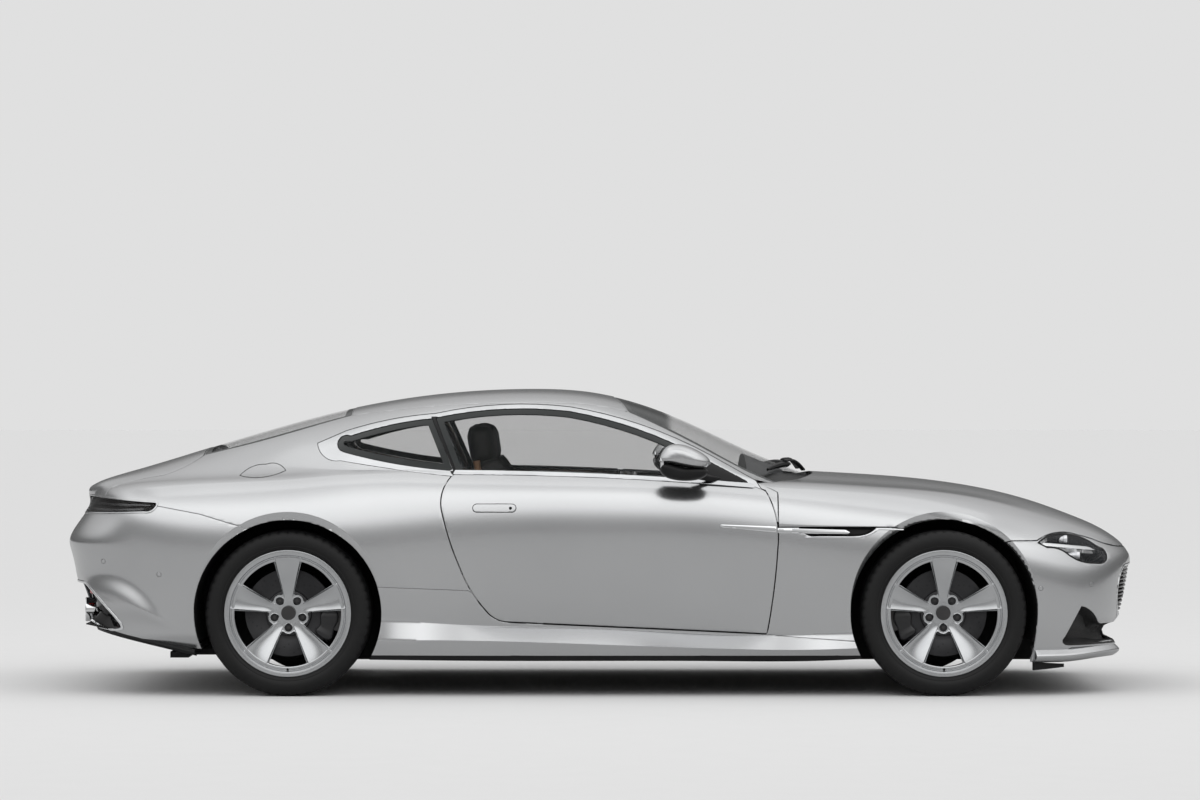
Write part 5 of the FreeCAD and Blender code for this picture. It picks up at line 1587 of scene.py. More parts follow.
@dataclass
class Tail:
    """The exhaust mouths and the diffuser."""

    recess: float = 0.045
    pipe: float = 0.047
    pipes: tuple = ((0.6, 0.357), (0.475, 0.35))
    splay: Point = (1, 0.12, 0)
    fins: int = 5
    fin_pitch: float = 0.16

    def mouths(self) -> None:
        """Each exhaust mouth: a dark recess in a bright frame, with two bright tips."""
        def layer(name: str, inner: float) -> Sheet:
            return skin(name, Upper.CABIN, -2345, -1980, 2).beyond(Y, -inner, BELOW)

        frame = layer("frame", 0.3).lifted(0.003).beyond(Z, 0.2)
        frame.trim(pipe_outline, 0.004, BELOW).trim(pipe_outline, -0.006, ABOVE)
        recess = layer("recess", 0.3).beyond(Z, 0.2).sunk(pipe_outline, self.recess, 0.03, 0.003,
                                                          (0.1, 0.4, 0.7, 1.0))
        eye = layer("eye", 0.7).lifted(-0.012).inside(PIPE_EYE)
        pieces = [dress(frame.made(0.01), Stuff.CHROME), dress(eye.made(0.02), Stuff.RED),
                  dress(recess.made(0.003), Stuff.GLOSS_BLACK)]
        r = self.pipe
        for y, z in self.pipes:
            tip = [(0.09, r - 0.004), (-0.004, r), (-0.008, r + 0.002), (-0.004, r + 0.0055),
                   (0.09, r + 0.002), (0.09, r - 0.004)]
            centre = (-2.236, -y - 0.02, z)
            bore = [(0.088, 0.0), (0.088, r - 0.004), (0.0, r - 0.001)]
            pieces += [turned("tip", tip, centre, Stuff.CHROME, axis=self.splay),
                       turned("bore", bore, centre, Stuff.IRON, axis=self.splay)]
        keep_pair(joined("right_exhaust", pieces), "body", "exhaust_tips", slot="chrome")

    def diffuser(self) -> None:
        """The black diffuser under the tail, with its upright fins."""
        places, ways = Probe(Upper.CABIN).round(-1.5, 0.3, 104.5, 255.5, 101)
        path = places - ways * 0.02
        path[:, Z] = tail_foot(path[:, X]) - 0.006
        up = tiled(len(path), UPWARD)[0]
        lip = [(-0.05, 0.012), (0.0, 0.012), (0.01, 0.006), (0.012, 0.0), (0.006, -0.012),
               (-0.05, -0.018)]
        pieces = [dress(smooth(sweep("diffuser_lip", path, ways, up, lip)), Stuff.SATIN_BLACK)]
        for number in range(self.fins):
            y = (number - (self.fins - 1) / 2) * self.fin_pitch
            x = np.array([-2.2, -2.1, -1.98, -1.86])
            run = np.stack([x, x * 0 + y, tail_foot(x) - 0.02], axis=1)
            fin = sweep("fin", run, *tiled(4, LEFTWARD, UPWARD), rounded(0.008, 0.045, 0.003))
            pieces.append(dress(smooth(fin), Stuff.SATIN_BLACK))
        x, y = np.linspace(-2.22, -1.74, 12), np.linspace(-0.8, 0.8, 25)
        floor = np.stack(np.meshgrid(x, y, indexing="ij"), axis=2)
        rise = tail_foot(floor[..., X])
        floor = grid_object("floor", np.concatenate([floor, rise[..., None]], axis=2)[:, ::-1])
        modify(floor, "SOLIDIFY", thickness=0.004)
        pieces.append(dress(smooth(floor), Stuff.SATIN_BLACK))
        keep(joined("diffuser", pieces), "body", "rear_diffuser", slot="black")

    def build(self) -> None:
        """Make the tail."""
        self.mouths()
        self.diffuser()


@dataclass
class Mirror:
    """A door mirror: a painted shell, a dark underside and arm, and the glass."""

    inner: float = 0.875
    outer: float = 1.042
    shell: tuple = ((0.236, 1.006), (0.26, 1.052), (0.295, 1.083), (0.362, 1.076), (0.442, 1.036),
                    (0.47, 1.004), (0.462, 0.98), (0.418, 0.966), (0.332, 0.985), (0.252, 1.002))
    under: tuple = ((0.244, 1.003), (0.29, 0.997), (0.335, 0.982), (0.39, 0.971), (0.45, 0.978),
                    (0.462, 0.955), (0.44, 0.931), (0.38, 0.919), (0.31, 0.923), (0.262, 0.94),
                    (0.246, 0.968))

    def block(self, name: str, outline: Sequence[tuple], finish: Stuff, rows: int = 13) -> Obj:
        """A rounded block with one outline (x, z), drawn in towards both ends."""
        y = np.linspace(0, 1, rows)
        size = (1 - np.abs(2 * y - 1) ** 3.2 * 0.8) ** 0.5
        size[0] = 0.9
        corners = np.array(outline)
        middle = corners.mean(axis=0)
        path = np.stack([y * 0 + middle[0], -self.inner - (self.outer - self.inner) * y,
                         y * 0 + middle[1]], axis=1)
        path[:, X] -= 0.012 * y**2
        block = sweep(name, path, *tiled(rows, FORWARD, UPWARD),
                      [tuple(corner - middle) for corner in corners], sizes=size)
        modify(block, "SUBSURF", levels=2, render_levels=2)
        return dress(smooth(block, 60), finish)

    def build(self) -> None:
        """Make both mirrors."""
        shell = self.block("right_mirror_shell", self.shell, Stuff.PAINT)
        under = self.block("under", self.under, Stuff.SATIN_BLACK)
        start, end = np.array([0.37, -0.9, 0.955]), np.array([0.535, -0.795, 0.922])
        share = np.linspace(0, 1, 9)[:, None]
        path = start + (end - start) * share
        path[:, Z] -= 0.006 * np.sin(share[:, 0] * math.pi)
        arm = sweep("arm", path, *tiled(9, (-0.55, -0.85, 0.0), UPWARD),
                    rounded(0.075, 0.03, 0.012), sizes=1 - 0.35 * share[:, 0])
        arm = dress(smooth(arm, 50), Stuff.SATIN_BLACK)
        glass = rounded(0.115, 0.056, 0.022, 6)
        face = [np.array([x, -0.962, 1.0]) for x in (0.262, 0.249, 0.248)]
        pane = sweep("pane", np.array(face), *tiled(3, LEFTWARD, UPWARD), glass,
                     sizes=np.array([1, 1, 0.97]))
        pane = dress(smooth(pane), Stuff.CHROME)
        piece = joined("right_door_mirror", [shell, under, arm, pane])
        keep_pair(piece, "right_door", "right_mirror", slot="paint")


# ---------------------------------------------------------------- wheels

def rounded(width: float, height: float, radius: float, steps: int = 4) -> list:
    """Corners of a rounded rectangle about the middle, in one direction round."""
    found = []
    for turn, (x, y) in enumerate(((1, 1), (-1, 1), (-1, -1), (1, -1))):
        for step in range(steps + 1):
            angle = (turn + step / steps) * math.pi / 2
            found.append((x * (width / 2 - radius) + radius * math.cos(angle),
                          y * (height / 2 - radius) + radius * math.sin(angle)))
    return found


def soft_max(first: Array, second: Array, blend: float) -> Array:
    """The larger of two, rounded where they are within blend of each other."""
    share = np.clip(blend - np.abs(first - second), 0, None)
    return np.maximum(first, second) + share**2 / (4 * blend)


@dataclass
class Wheel:
    """A five-spoke wheel, its tyre and its brake, built about the origin facing -Y."""

    rim: float = 0.254
    lip: float = 0.272
    half_width: float = 0.122
    tyre: float = 0.354
    tyre_half: float = 0.1375
    spokes: int = 5
    spoke_root: float = 0.015
    spoke_end: float = 0.070
    spoke_reach: float = 0.259
    hub_depth: float = 0.046
    bolt_circle: float = 0.063
    bolt_pocket: float = 0.0165
    disc: float = 0.188
    spoke_depth: float = 0.026
    shoulder: float = 0.86
    track: float = 0.81
    grooves: tuple = (-0.085, -0.03, 0.03, 0.085)
    groove: float = 0.007
    tread_steps: int = 216
    blocks: tuple = (0.3405, 0.098)
    block_steps: int = 4
    cut: float = 0.0045
    holes: int = 48

    def spoke_width(self, along: Array) -> Array:
        """Half the width of a spoke at a distance out from the hub."""
        share = np.clip((along - 0.045) / (self.spoke_reach - 0.045), 0, 1)
        return self.spoke_root + (self.spoke_end - self.spoke_root) * share**1.1

    def bolt_distance(self, places: Array) -> Array:
        """Distance of places from the nearest bolt's middle, in the wheel's plane."""
        turn = math.pi / self.spokes
        x, z = math.sin(turn) * self.bolt_circle, math.cos(turn) * self.bolt_circle
        return np.hypot(np.abs(places[:, X]) - x, places[:, Z] - z)

    def star(self, places: Array) -> Array:
        """Distance from the outline of one spoke with its share of the hub."""
        u, v = np.abs(places[:, X]), places[:, Z]
        radius = np.hypot(u, v)
        spoke = soft_max(soft_max(u - self.spoke_width(v), radius - self.spoke_reach, 0.012),
                         0.02 - v, 0.004)
        hub = -soft_max(-(radius - 0.05), -(self.bolt_distance(places) - 0.0275), 0.014)
        return -soft_max(-spoke, -hub, 0.014)

    def relief(self, places: Array) -> Array:
        """How far inboard the wheel's face lies at each place."""
        u, v = np.abs(places[:, X]), places[:, Z]
        radius = np.hypot(u, v)
        depth = self.hub_depth * (1 - fade(radius, 0.05, 0.25)) + 0.004
        across = np.clip(u / self.spoke_width(v), 0, 1)
        rim_end = fade(radius, 0.225, self.spoke_reach)
        crown = np.where(across < self.shoulder, across**2 * 0.010,
                         0.0074 - (across - self.shoulder) * 0.06)
        return depth - crown * fade(radius, 0.055, 0.11) * (1 - 0.4 * rim_end)

    def face(self) -> Obj:
        """The spokes and the hub: one spoke, copied round."""
        radius = np.concatenate([[0.001], np.linspace(0.006, self.spoke_reach + 0.006, 52)])
        turn = np.linspace(-1, 1, 61) * math.pi / self.spokes
        r, t = np.meshgrid(radius, turn, indexing="ij")
        places = np.stack([r * np.sin(t), r * 0, r * np.cos(t)], axis=2)
        sheet = Sheet("spoke", places)
        sheet.edge_round = 0.003
        sheet.split(lambda p: np.abs(p[:, X]) - self.spoke_width(p[:, Z]) * self.shoulder, 0.0)
        sheet.trim(self.star, 0.0, BELOW).trim(self.bolt_distance, self.bolt_pocket, ABOVE)
        front = -self.half_width + 0.008
        sheet.moved(lambda p, n: np.stack([p[:, X] * 0, front + self.relief(p), p[:, Z] * 0], 1))
        one = sheet.sheet_only()
        pieces = [one]
        for number in range(1, self.spokes):
            angle = math.tau * number / self.spokes
            copy = duplicate(one)
            put(copy, coordinates(copy) @ np.array(Matrix.Rotation(angle, 3, "Y")).T)
            pieces.append(copy)
        star = mend(joined("spokes", pieces), 2e-5)
        with editing(star):
            bpy.ops.mesh.extrude_region_move(
                TRANSFORM_OT_translate={"value": (0, self.spoke_depth, 0)})
            bpy.ops.mesh.select_all(action="SELECT")
            bpy.ops.mesh.normals_make_consistent(inside=False)
        return dress(smooth(star, 40), Stuff.ALLOY)

    def barrel(self) -> Obj:
        """The rim: outer lip, the step inside it, the barrel and the inner flange."""
        edge = self.half_width
        lip = self.lip
        profile = [(-edge + 0.014, 0.228), (-edge + 0.008, 0.2285), (-edge + 0.0065, 0.232),
                   (-edge + 0.0068, 0.240), (-edge + 0.009, 0.2425), (-edge + 0.0085, 0.246),
                   (-edge + 0.003, 0.250), (-edge + 0.0012, 0.258), (-edge + 0.0008, 0.266),
                   (-edge + 0.0018, 0.2705), (-edge + 0.004, lip), (-edge + 0.0075, lip),
                   (-edge + 0.009, 0.269), (-edge + 0.0095, self.rim), (edge - 0.0095, self.rim),
                   (edge - 0.009, lip - 0.002), (edge - 0.006, lip), (edge, 0.27),
                   (edge, 0.246), (edge - 0.02, 0.243), (0.02, 0.236), (-0.03, 0.232),
                   (-edge + 0.05, 0.2335), (-edge + 0.03, 0.230), (-edge + 0.014, 0.228)]
        return turned("rim", profile, (0, 0, 0), Stuff.ALLOY, 120, angle=28)

    def bolts(self) -> list[Obj]:
        """The wheel bolts in their pockets, the centre cap and the valve."""
        found = []
        seat = -self.half_width + self.hub_depth + 0.012
        for number in range(self.spokes):
            turn = math.tau * (number + 0.5) / self.spokes
            place = (math.sin(turn) * self.bolt_circle, seat, math.cos(turn) * self.bolt_circle)
            cup = [(0.014, 0.0), (0.014, 0.0172), (-0.0065, 0.0172), (-0.0075, 0.0168),
                   (-0.0065, 0.0158), (0.01, 0.0145), (0.01, 0.0)]
            found.append(turned("cup", cup, place, Stuff.GLOSS_BLACK, 32))
            bolt = [(0.011, 0.0), (0.011, 0.0115), (0.006, 0.0112), (0.005, 0.0092),
                    (-0.001, 0.0088), (-0.0028, 0.0074), (-0.0034, 0.004), (-0.003, 0.0)]
            found.append(turned("bolt", bolt, place, Stuff.IRON, 6))
        cap = -self.half_width + self.hub_depth + 0.004
        profile = [(0.02, 0.0), (0.02, 0.031), (0.0, 0.031), (-0.0026, 0.0298), (-0.003, 0.028),
                   (-0.0012, 0.0262), (-0.0022, 0.024), (-0.0045, 0.012), (-0.005, 0.0)]
        found.append(turned("cap", profile, (0, cap, 0), Stuff.GLOSS_BLACK))
        stem = [(0.0, 0.0), (0.0, 0.0045), (-0.018, 0.0042), (-0.02, 0.0055), (-0.032, 0.005),
                (-0.034, 0.0035), (-0.034, 0.0)]
        place = (0, -self.half_width + 0.034, -0.2395)
        found.append(turned("valve", stem, place, Stuff.SATIN_BLACK, 16))
        return found

    def rotor(self) -> list[Obj]:
        """The drilled brake disc, its bell, and a small dark disc at each hole: painted shade in
        place of the drilled holes.
        """
        back, edge = -0.05, self.disc
        profile = [(0.026, 0.07), (0.026, 0.118), (0.028, 0.12), (0.028, edge - 0.001),
                   (0.027, edge), (0.018, edge), (0.017, edge - 0.006), (0.011, edge - 0.006),
                   (0.01, edge), (0.001, edge), (0.0, edge - 0.001), (0.0, 0.122), (0.001, 0.12),
                   (0.001, 0.1), (-0.012, 0.096), (-0.014, 0.09), (-0.014, 0.05), (0.0, 0.045),
                   (0.026, 0.07)]
        found = [turned("rotor", profile, (0, back, 0), Stuff.DISC, 96)]
        for number in range(self.holes):
            turn = math.tau * number / self.holes
            radius = 0.135 + 0.0125 * (number % 4)
            place = (math.sin(turn) * radius, back + 0.0002, math.cos(turn) * radius)
            # a flat dark disc stands for each drilled hole: painted shade, and no hole is cut
            mouth = [(0.0, 0.0), (-0.0003, 0.0032), (0.0, 0.0036)]
            found.append(dress(lathe("mouth", mouth, place, 10), Stuff.SATIN_BLACK))
        return found

    def tread(self) -> Obj:
        """The tyre: bead, sidewall with its rim guard, shoulder blocks and tread grooves."""
        half, top = self.tyre_half, self.tyre
        bead = self.half_width - 0.010
        right = [(-bead, self.rim + 0.0005), (-bead, 0.2725), (-bead - 0.010, 0.2745),
                 (-half + 0.012, 0.279), (-half + 0.006, 0.286), (-half + 0.0062, 0.289),
                 (-half + 0.0015, 0.296), (-half, 0.308), (-half + 0.001, 0.320),
                 (-half + 0.005, 0.333), (-half + 0.012, 0.3435), (-half + 0.0165, 0.3475),
                 (-half + 0.024, top - 0.0025), (-half + 0.034, top - 0.001)]
        grooves = []
        for middle in self.grooves:
            grooves += [(middle - 0.006, top), (middle - 0.0045, top - self.groove),
                        (middle + 0.0045, top - self.groove), (middle + 0.006, top)]
        left = [(-y, radius) for y, radius in reversed(right)]
        profile = right + grooves + left + [right[0]]
        ring = lathe("tyre_ring", profile, (0, 0, 0), self.tread_steps)
        places = coordinates(ring)
        radius = np.hypot(places[:, X], places[:, Z])
        turn = np.arctan2(places[:, X], places[:, Z]) / math.tau
        number = np.round(turn * self.tread_steps).astype(int)
        block_radius, block_inner = self.blocks
        shoulder = (radius > block_radius) & (np.abs(places[:, Y]) > block_inner)
        cut = shoulder & (number % self.block_steps == 0)
        share = np.where(cut, (radius - self.cut) / radius, 1.0)
        put(ring, places * np.stack([share, share * 0 + 1, share], axis=1))
        return dress(smooth(ring, 32), Stuff.RUBBER)

    def caliper(self, turn: float) -> Obj:
        """A fixed caliper over the disc's edge, about an angle from +X in radians."""
        steps = 25
        angles = np.linspace(-0.52, 0.52, steps) + turn
        bow = np.linspace(-1, 1, steps)
        radial = np.stack([np.cos(angles), angles * 0, np.sin(angles)], axis=1)
        path = radial * 0.176 + np.array([0, -0.047, 0])
        size = 0.9 + 0.1 * np.cos(bow * 7) * (np.abs(bow) < 0.9)
        size[[0, -1]] *= 0.8
        body = sweep("caliper", path, radial, *tiled(steps, (0, -1, 0)),
                     rounded(0.082, 0.054, 0.012), sizes=size)
        return dress(smooth(body, 50), Stuff.CALIPER)

    def place(self, pieces: Sequence[Obj], name: str, x: float, y: float) -> Obj:
        """Join copies of the pieces and put them at an axle's end, facing outwards."""
        whole = joined(name, [duplicate(piece) for piece in pieces])
        places = coordinates(whole) * (ACROSS if y > 0 else 1)
        put(whole, places + np.array([x, y, self.tyre]))
        if y > 0:
            flip(whole)
        return whole

    def build(self) -> None:
        """Make one wheel, and put copies at all four corners."""
        metal = [self.face(), self.barrel(), *self.bolts(), *self.rotor()]
        rubber = [self.tread()]
        calipers = {"front": self.caliper(math.pi + 0.12), "rear": self.caliper(-0.12)}
        for end, x in (("front", FRONT_AXLE), ("rear", REAR_AXLE)):
            for hand in Hand:
                y = hand.value * self.track
                corner = f"{end}_{hand.word}"
                wheel = self.place(metal, f"{corner}_alloy", x, y)
                keep(wheel, f"{corner}_wheel", f"{corner}_wheel", slot="alloy")
                tyre = self.place(rubber, f"{corner}_rubber", x, y)
                keep(tyre, f"{corner}_wheel", f"{corner}_tyre", slot="tyre")
                brake = self.place([calipers[end]], f"{corner}_caliper", x, y)
                keep(brake, f"front_{hand.word}_knuckle" if end == "front" else "body", slot="iron")
        for piece in (*metal, *rubber, *calipers.values()):
            delete(piece)


# ---------------------------------------------------------------- the cabin

SWELL_FRAMES = 20


def cushion(obj: Obj, voxel: float = 0.0075, pressure: float = 4.0, cap: float = 0.024) -> Obj:
    """Swell a closed form into a padded cushion with a cloth simulation.

    Args:
        obj: The form, slightly smaller than the cushion.
        voxel: Edge length of the mesh that it is simulated with.
        pressure: How hard the padding pushes.
        cap: How far a point may move.

    Returns:
        The same object with its swollen, smooth mesh.
    """
    modify(obj, "REMESH", mode="VOXEL", voxel_size=voxel)
    before = coordinates(obj)
    pick(obj)
    bpy.ops.object.modifier_add(type="CLOTH")
    cloth = obj.modifiers[-1]
    cloth.settings.use_pressure = True
    cloth.settings.uniform_pressure_force = pressure
    cloth.settings.effector_weights.gravity = 0
    cloth.point_cache.frame_start, cloth.point_cache.frame_end = 1, SWELL_FRAMES
    for number in range(1, SWELL_FRAMES + 1):
        bpy.context.scene.frame_set(number)
    bpy.ops.object.modifier_apply(modifier=cloth.name)
    bpy.context.scene.frame_set(1)
    moved = coordinates(obj) - before
    far = np.linalg.norm(moved, axis=1, keepdims=True)
    put(obj, before + moved * np.minimum(1, cap / np.maximum(far, 1e-9)))
    modify(obj, "SMOOTH", factor=0.5, iterations=4)
    return smooth(obj, 80)


@dataclass
class Seat:
    """A sports seat, built about its own middle: cushion, back with bolsters, headrest."""

    seam_depth: float = 0.006
    seam_width: float = 0.004
    pitch: float = 0.055
    around: int = 40

    def pad(self, name: str, path: Sequence[tuple], widths: Sequence[float], thickness: float,
            sideways: float) -> Obj:
        """A padded form along a side path.

        Args:
            name: Its name.
            path: Places (x, z) along its middle.
            widths: Its half width at each place.
            thickness: How thick it is in the middle.
            sideways: How much thicker its bolsters are.
        """
        xz = np.array(path)
        way = np.gradient(xz, axis=0)
        way /= np.linalg.norm(way, axis=1, keepdims=True)
        normal = np.stack([way[:, 1], -way[:, 0]], axis=1)
        around = np.linspace(0, math.tau, self.around + 1)[:-1]
        rows = []
        for place, out, half in zip(xz, normal, widths):
            y = np.sign(np.cos(around)) * np.abs(np.cos(around)) ** 0.45 * half
            t = np.sign(np.sin(around)) * np.abs(np.sin(around)) ** 0.6 * thickness / 2
            t = t + np.where(np.sin(around) > 0, sideways * fade(np.abs(y) / half, 0.62, 0.9), 0)
            rows.append(np.stack([place[0] + out[0] * t, y, place[1] + out[1] * t], axis=1))
        rows = np.array(rows)
        return mend(cap_ends(grid_object(name, np.concatenate([rows, rows[:, :1]], axis=1))))

    def grooved(self, obj: Obj, lines: Sequence[tuple], flutes: tuple) -> Obj:
        """Press seams and flutes into a pad.

        Args:
            obj: The pad.
            lines: Seams along the seat, as distances |y| from its middle.
            flutes: Axis, first place and last place of the seams across the middle.
        """
        places, normals = coordinates(obj), coordinates(obj, "normal")
        aside, depth = np.abs(places[:, Y]), np.zeros(len(places))
        for line in lines:
            depth = np.maximum(depth, np.exp(-((aside - line) / self.seam_width) ** 2))
        axis, first, last = flutes
        along = places[:, axis]
        phase = (along - first) / self.pitch
        phase = np.abs(phase - np.round(phase)) * self.pitch
        middle = (aside < lines[0]) & (along > first - 0.01) & (along < last + 0.01)
        flute = np.where(middle, np.exp(-(phase / self.seam_width) ** 2), 0)
        depth = np.maximum(depth, flute * 0.8)
        return put(obj, places - normals * (depth * self.seam_depth)[:, None])

    def build(self, place: float) -> Obj:
        """One seat with its middle at a place along y."""
        base = self.pad("seat_cushion",
                        [(0.335, 0.31), (0.33, 0.345), (0.26, 0.365), (0.1, 0.355), (-0.08, 0.33),
                         (-0.23, 0.315), (-0.28, 0.315)],
                        [0.17, 0.2, 0.222, 0.225, 0.225, 0.215, 0.19], 0.105, 0.045)
        back = self.pad("seat_back",
                        [(-0.27, 0.36), (-0.3, 0.42), (-0.34, 0.55), (-0.395, 0.7), (-0.45, 0.83),
                         (-0.495, 0.93), (-0.52, 0.99), (-0.527, 1.01)],
                        [0.18, 0.215, 0.222, 0.225, 0.21, 0.17, 0.14, 0.1], 0.1, 0.045)
        rest = self.pad("headrest", [(-0.505, 0.99), (-0.52, 1.02), (-0.53, 1.08), (-0.535, 1.13),
                                     (-0.535, 1.15)],
                        [0.08, 0.122, 0.128, 0.115, 0.08], 0.1, 0.0)
        cushion(base)
        cushion(back)
        cushion(rest, cap=0.012)
        self.grooved(base, (0.135, 0.2), (0, -0.2, 0.28))
        self.grooved(back, (0.13, 0.2), (2, 0.44, 0.88))
        shell = self.pad("shell", [(-0.35, 0.3), (-0.375, 0.42), (-0.41, 0.55), (-0.46, 0.72),
                                   (-0.505, 0.85), (-0.54, 0.95), (-0.55, 1.0)],
                         [0.21, 0.232, 0.235, 0.232, 0.215, 0.18, 0.14], 0.035, 0.0)
        dress(smooth(shell, 80), Stuff.TAN)
        for piece in (base, back, rest):
            dress(piece, Stuff.LEATHER)
        whole = joined("seat", [base, back, rest, shell])
        return put(whole, coordinates(whole) + np.array([0, place, 0]))

    def rails(self, place: float) -> Obj:
        """The seat's two floor rails and its side skirts."""
        pieces = []
        for y in (-0.17, 0.17):
            run = np.array([[x, place + y, 0.2] for x in (-0.28, 0.0, 0.3)])
            rail = sweep("rail", run, *tiled(3, LEFTWARD, UPWARD), rounded(0.04, 0.036, 0.008))
            pieces.append(dress(smooth(rail), Stuff.IRON))
        run = np.array([[x, place, 0.25] for x in (-0.29, -0.1, 0.12, 0.31)])
        skirt = sweep("skirt", run, *tiled(4, LEFTWARD, UPWARD), rounded(0.4, 0.09, 0.03, 6),
                      sizes=np.array([0.95, 1.0, 1.0, 0.92]))
        pieces.append(dress(smooth(skirt, 50), Stuff.SATIN_BLACK))
        return joined("seat_rails", pieces)


@dataclass
class Cabin:
    """The seats, the dashboard, the console, the steering wheel and the linings."""

    seat_place: float = 0.37
    rear_place: float = 0.24
    hub: Point = (0.25, 0.37, 0.83)
    slope: float = 24.0
    rim: float = 0.174
    rim_steps: int = 96

    def seats(self) -> None:
        """Both front seats and the two small rear ones."""
        for hand in Hand:
            place = self.seat_place * hand.value
            seat = rename(Seat().build(place), f"{hand.word}_front_seat")
            keep(seat, "body", "front_seats", slot="trim")
            keep(rename(Seat().rails(place), f"{hand.word}_seat_base"), "body", slot="black")
            rear = rename(self.rear_seat(self.rear_place * hand.value), f"{hand.word}_rear_seat")
            keep(rear, "body", "rear_seats", slot="trim")

    def rear_seat(self, place: float) -> Obj:
        """One small rear seat: cushion and back."""
        seat = Seat()
        base = seat.pad("rear_cushion",
                        [(-0.67, 0.33), (-0.68, 0.36), (-0.75, 0.365), (-0.9, 0.345),
                         (-0.96, 0.34)],
                        [0.17, 0.19, 0.2, 0.195, 0.18], 0.08, 0.03)
        back = seat.pad("rear_back",
                        [(-0.985, 0.4), (-1.0, 0.45), (-1.045, 0.6), (-1.085, 0.7), (-1.1, 0.745)],
                        [0.17, 0.19, 0.195, 0.18, 0.15], 0.08, 0.03)
        for piece in (base, back):
            dress(cushion(piece, cap=0.015), Stuff.LEATHER)
        seat.grooved(base, (0.11,), (0, -0.93, -0.7))
        seat.grooved(back, (0.11,), (2, 0.42, 0.7))
        whole = joined("rear_seat", [base, back])
        return put(whole, coordinates(whole) + np.array([0, place, 0]))

    def across(self, name: str, finish: Stuff, half: float, bevel: float,
               outline: Sequence[tuple], middle: float = 0.0) -> Obj:
        """A bar across the car with one outline (x, z), its edges rounded."""
        corners = np.array(outline)
        centre = corners.mean(axis=0)
        path = np.array([(centre[0], y + middle, centre[1]) for y in (-half, 0, half)])
        bar = sweep(name, path, *tiled(3, FORWARD, UPWARD),
                    [tuple(corner - centre) for corner in corners])
        modify(bar, "BEVEL", width=bevel, segments=3, limit_method="ANGLE",
               angle_limit=math.radians(25))
        return dress(smooth(bar, 50), finish)

    def dashboard(self) -> None:
        """The dashboard: padded top, lower half, vents, screen and binnacle."""
        pieces = [self.across(*bar) for bar in (
            ("top", Stuff.LEATHER, 0.675, 0.012,
             ((0.628, 0.76), (0.628, 0.878), (0.55, 0.884), (0.47, 0.878), (0.415, 0.85),
              (0.405, 0.825), (0.43, 0.79))),
            ("low", Stuff.TAN, 0.67, 0.01,
             ((0.628, 0.605), (0.628, 0.758), (0.44, 0.785), (0.425, 0.76), (0.45, 0.66),
              (0.52, 0.61))),
            ("strip", Stuff.SATIN_CHROME, 0.66, 0.002,
             ((0.45, 0.782), (0.43, 0.79), (0.424, 0.782), (0.43, 0.768), (0.45, 0.765))),
            ("hood", Stuff.LEATHER, 0.17, 0.004,
             ((0.56, 0.872), (0.52, 0.884), (0.43, 0.884), (0.395, 0.878), (0.4, 0.87),
              (0.45, 0.862)), self.seat_place),
            ("dials", Stuff.GLOSS_BLACK, 0.15, 0.003,
             ((0.45, 0.79), (0.418, 0.795), (0.408, 0.865), (0.45, 0.866)), self.seat_place),
            ("screen", Stuff.GLOSS_BLACK, 0.11, 0.003,
             ((0.44, 0.79), (0.405, 0.795), (0.392, 0.872), (0.43, 0.874))))]
        vent = [(0.02, 0.0), (0.02, 0.036), (0.0, 0.038), (-0.004, 0.035), (-0.003, 0.03),
                (0.006, 0.028), (0.006, 0.0)]
        pieces += [turned("vent", vent, (0.424, y, 0.822), Stuff.SATIN_CHROME, 32, (1, 0, -0.25))
                   for y in (-0.6, -0.2, 0.2, 0.6)]
        keep(joined("dashboard_trim", pieces), "body", "dashboard", slot="dash")

    def console(self) -> None:
        """The console between the seats, with its armrest and selector."""
        pieces = [self.across(*bar) for bar in (
            ("tunnel", Stuff.LEATHER, 0.1, 0.012,
             ((0.628, 0.18), (0.628, 0.6), (0.56, 0.6), (0.42, 0.47), (0.2, 0.425), (-0.2, 0.415),
              (-0.555, 0.4), (-0.555, 0.18))),
            ("panel", Stuff.GLOSS_BLACK, 0.075, 0.003,
             ((0.55, 0.598), (0.41, 0.476), (0.18, 0.432), (0.02, 0.428), (0.02, 0.42),
              (0.18, 0.424), (0.42, 0.466))),
            ("armrest", Stuff.TAN, 0.08, 0.012,
             ((0.0, 0.418), (-0.01, 0.448), (-0.3, 0.448), (-0.32, 0.43), (-0.32, 0.412))))]
        knob = [(0.0, 0.02), (-0.03, 0.022), (-0.036, 0.018), (-0.036, 0.0)]
        pieces.append(turned("knob", knob, (0.16, 0, 0.43), Stuff.SATIN_CHROME, 32, (0, 0, -1)))
        keep(joined("console_trim", pieces), "body", "centre_console", slot="trim")

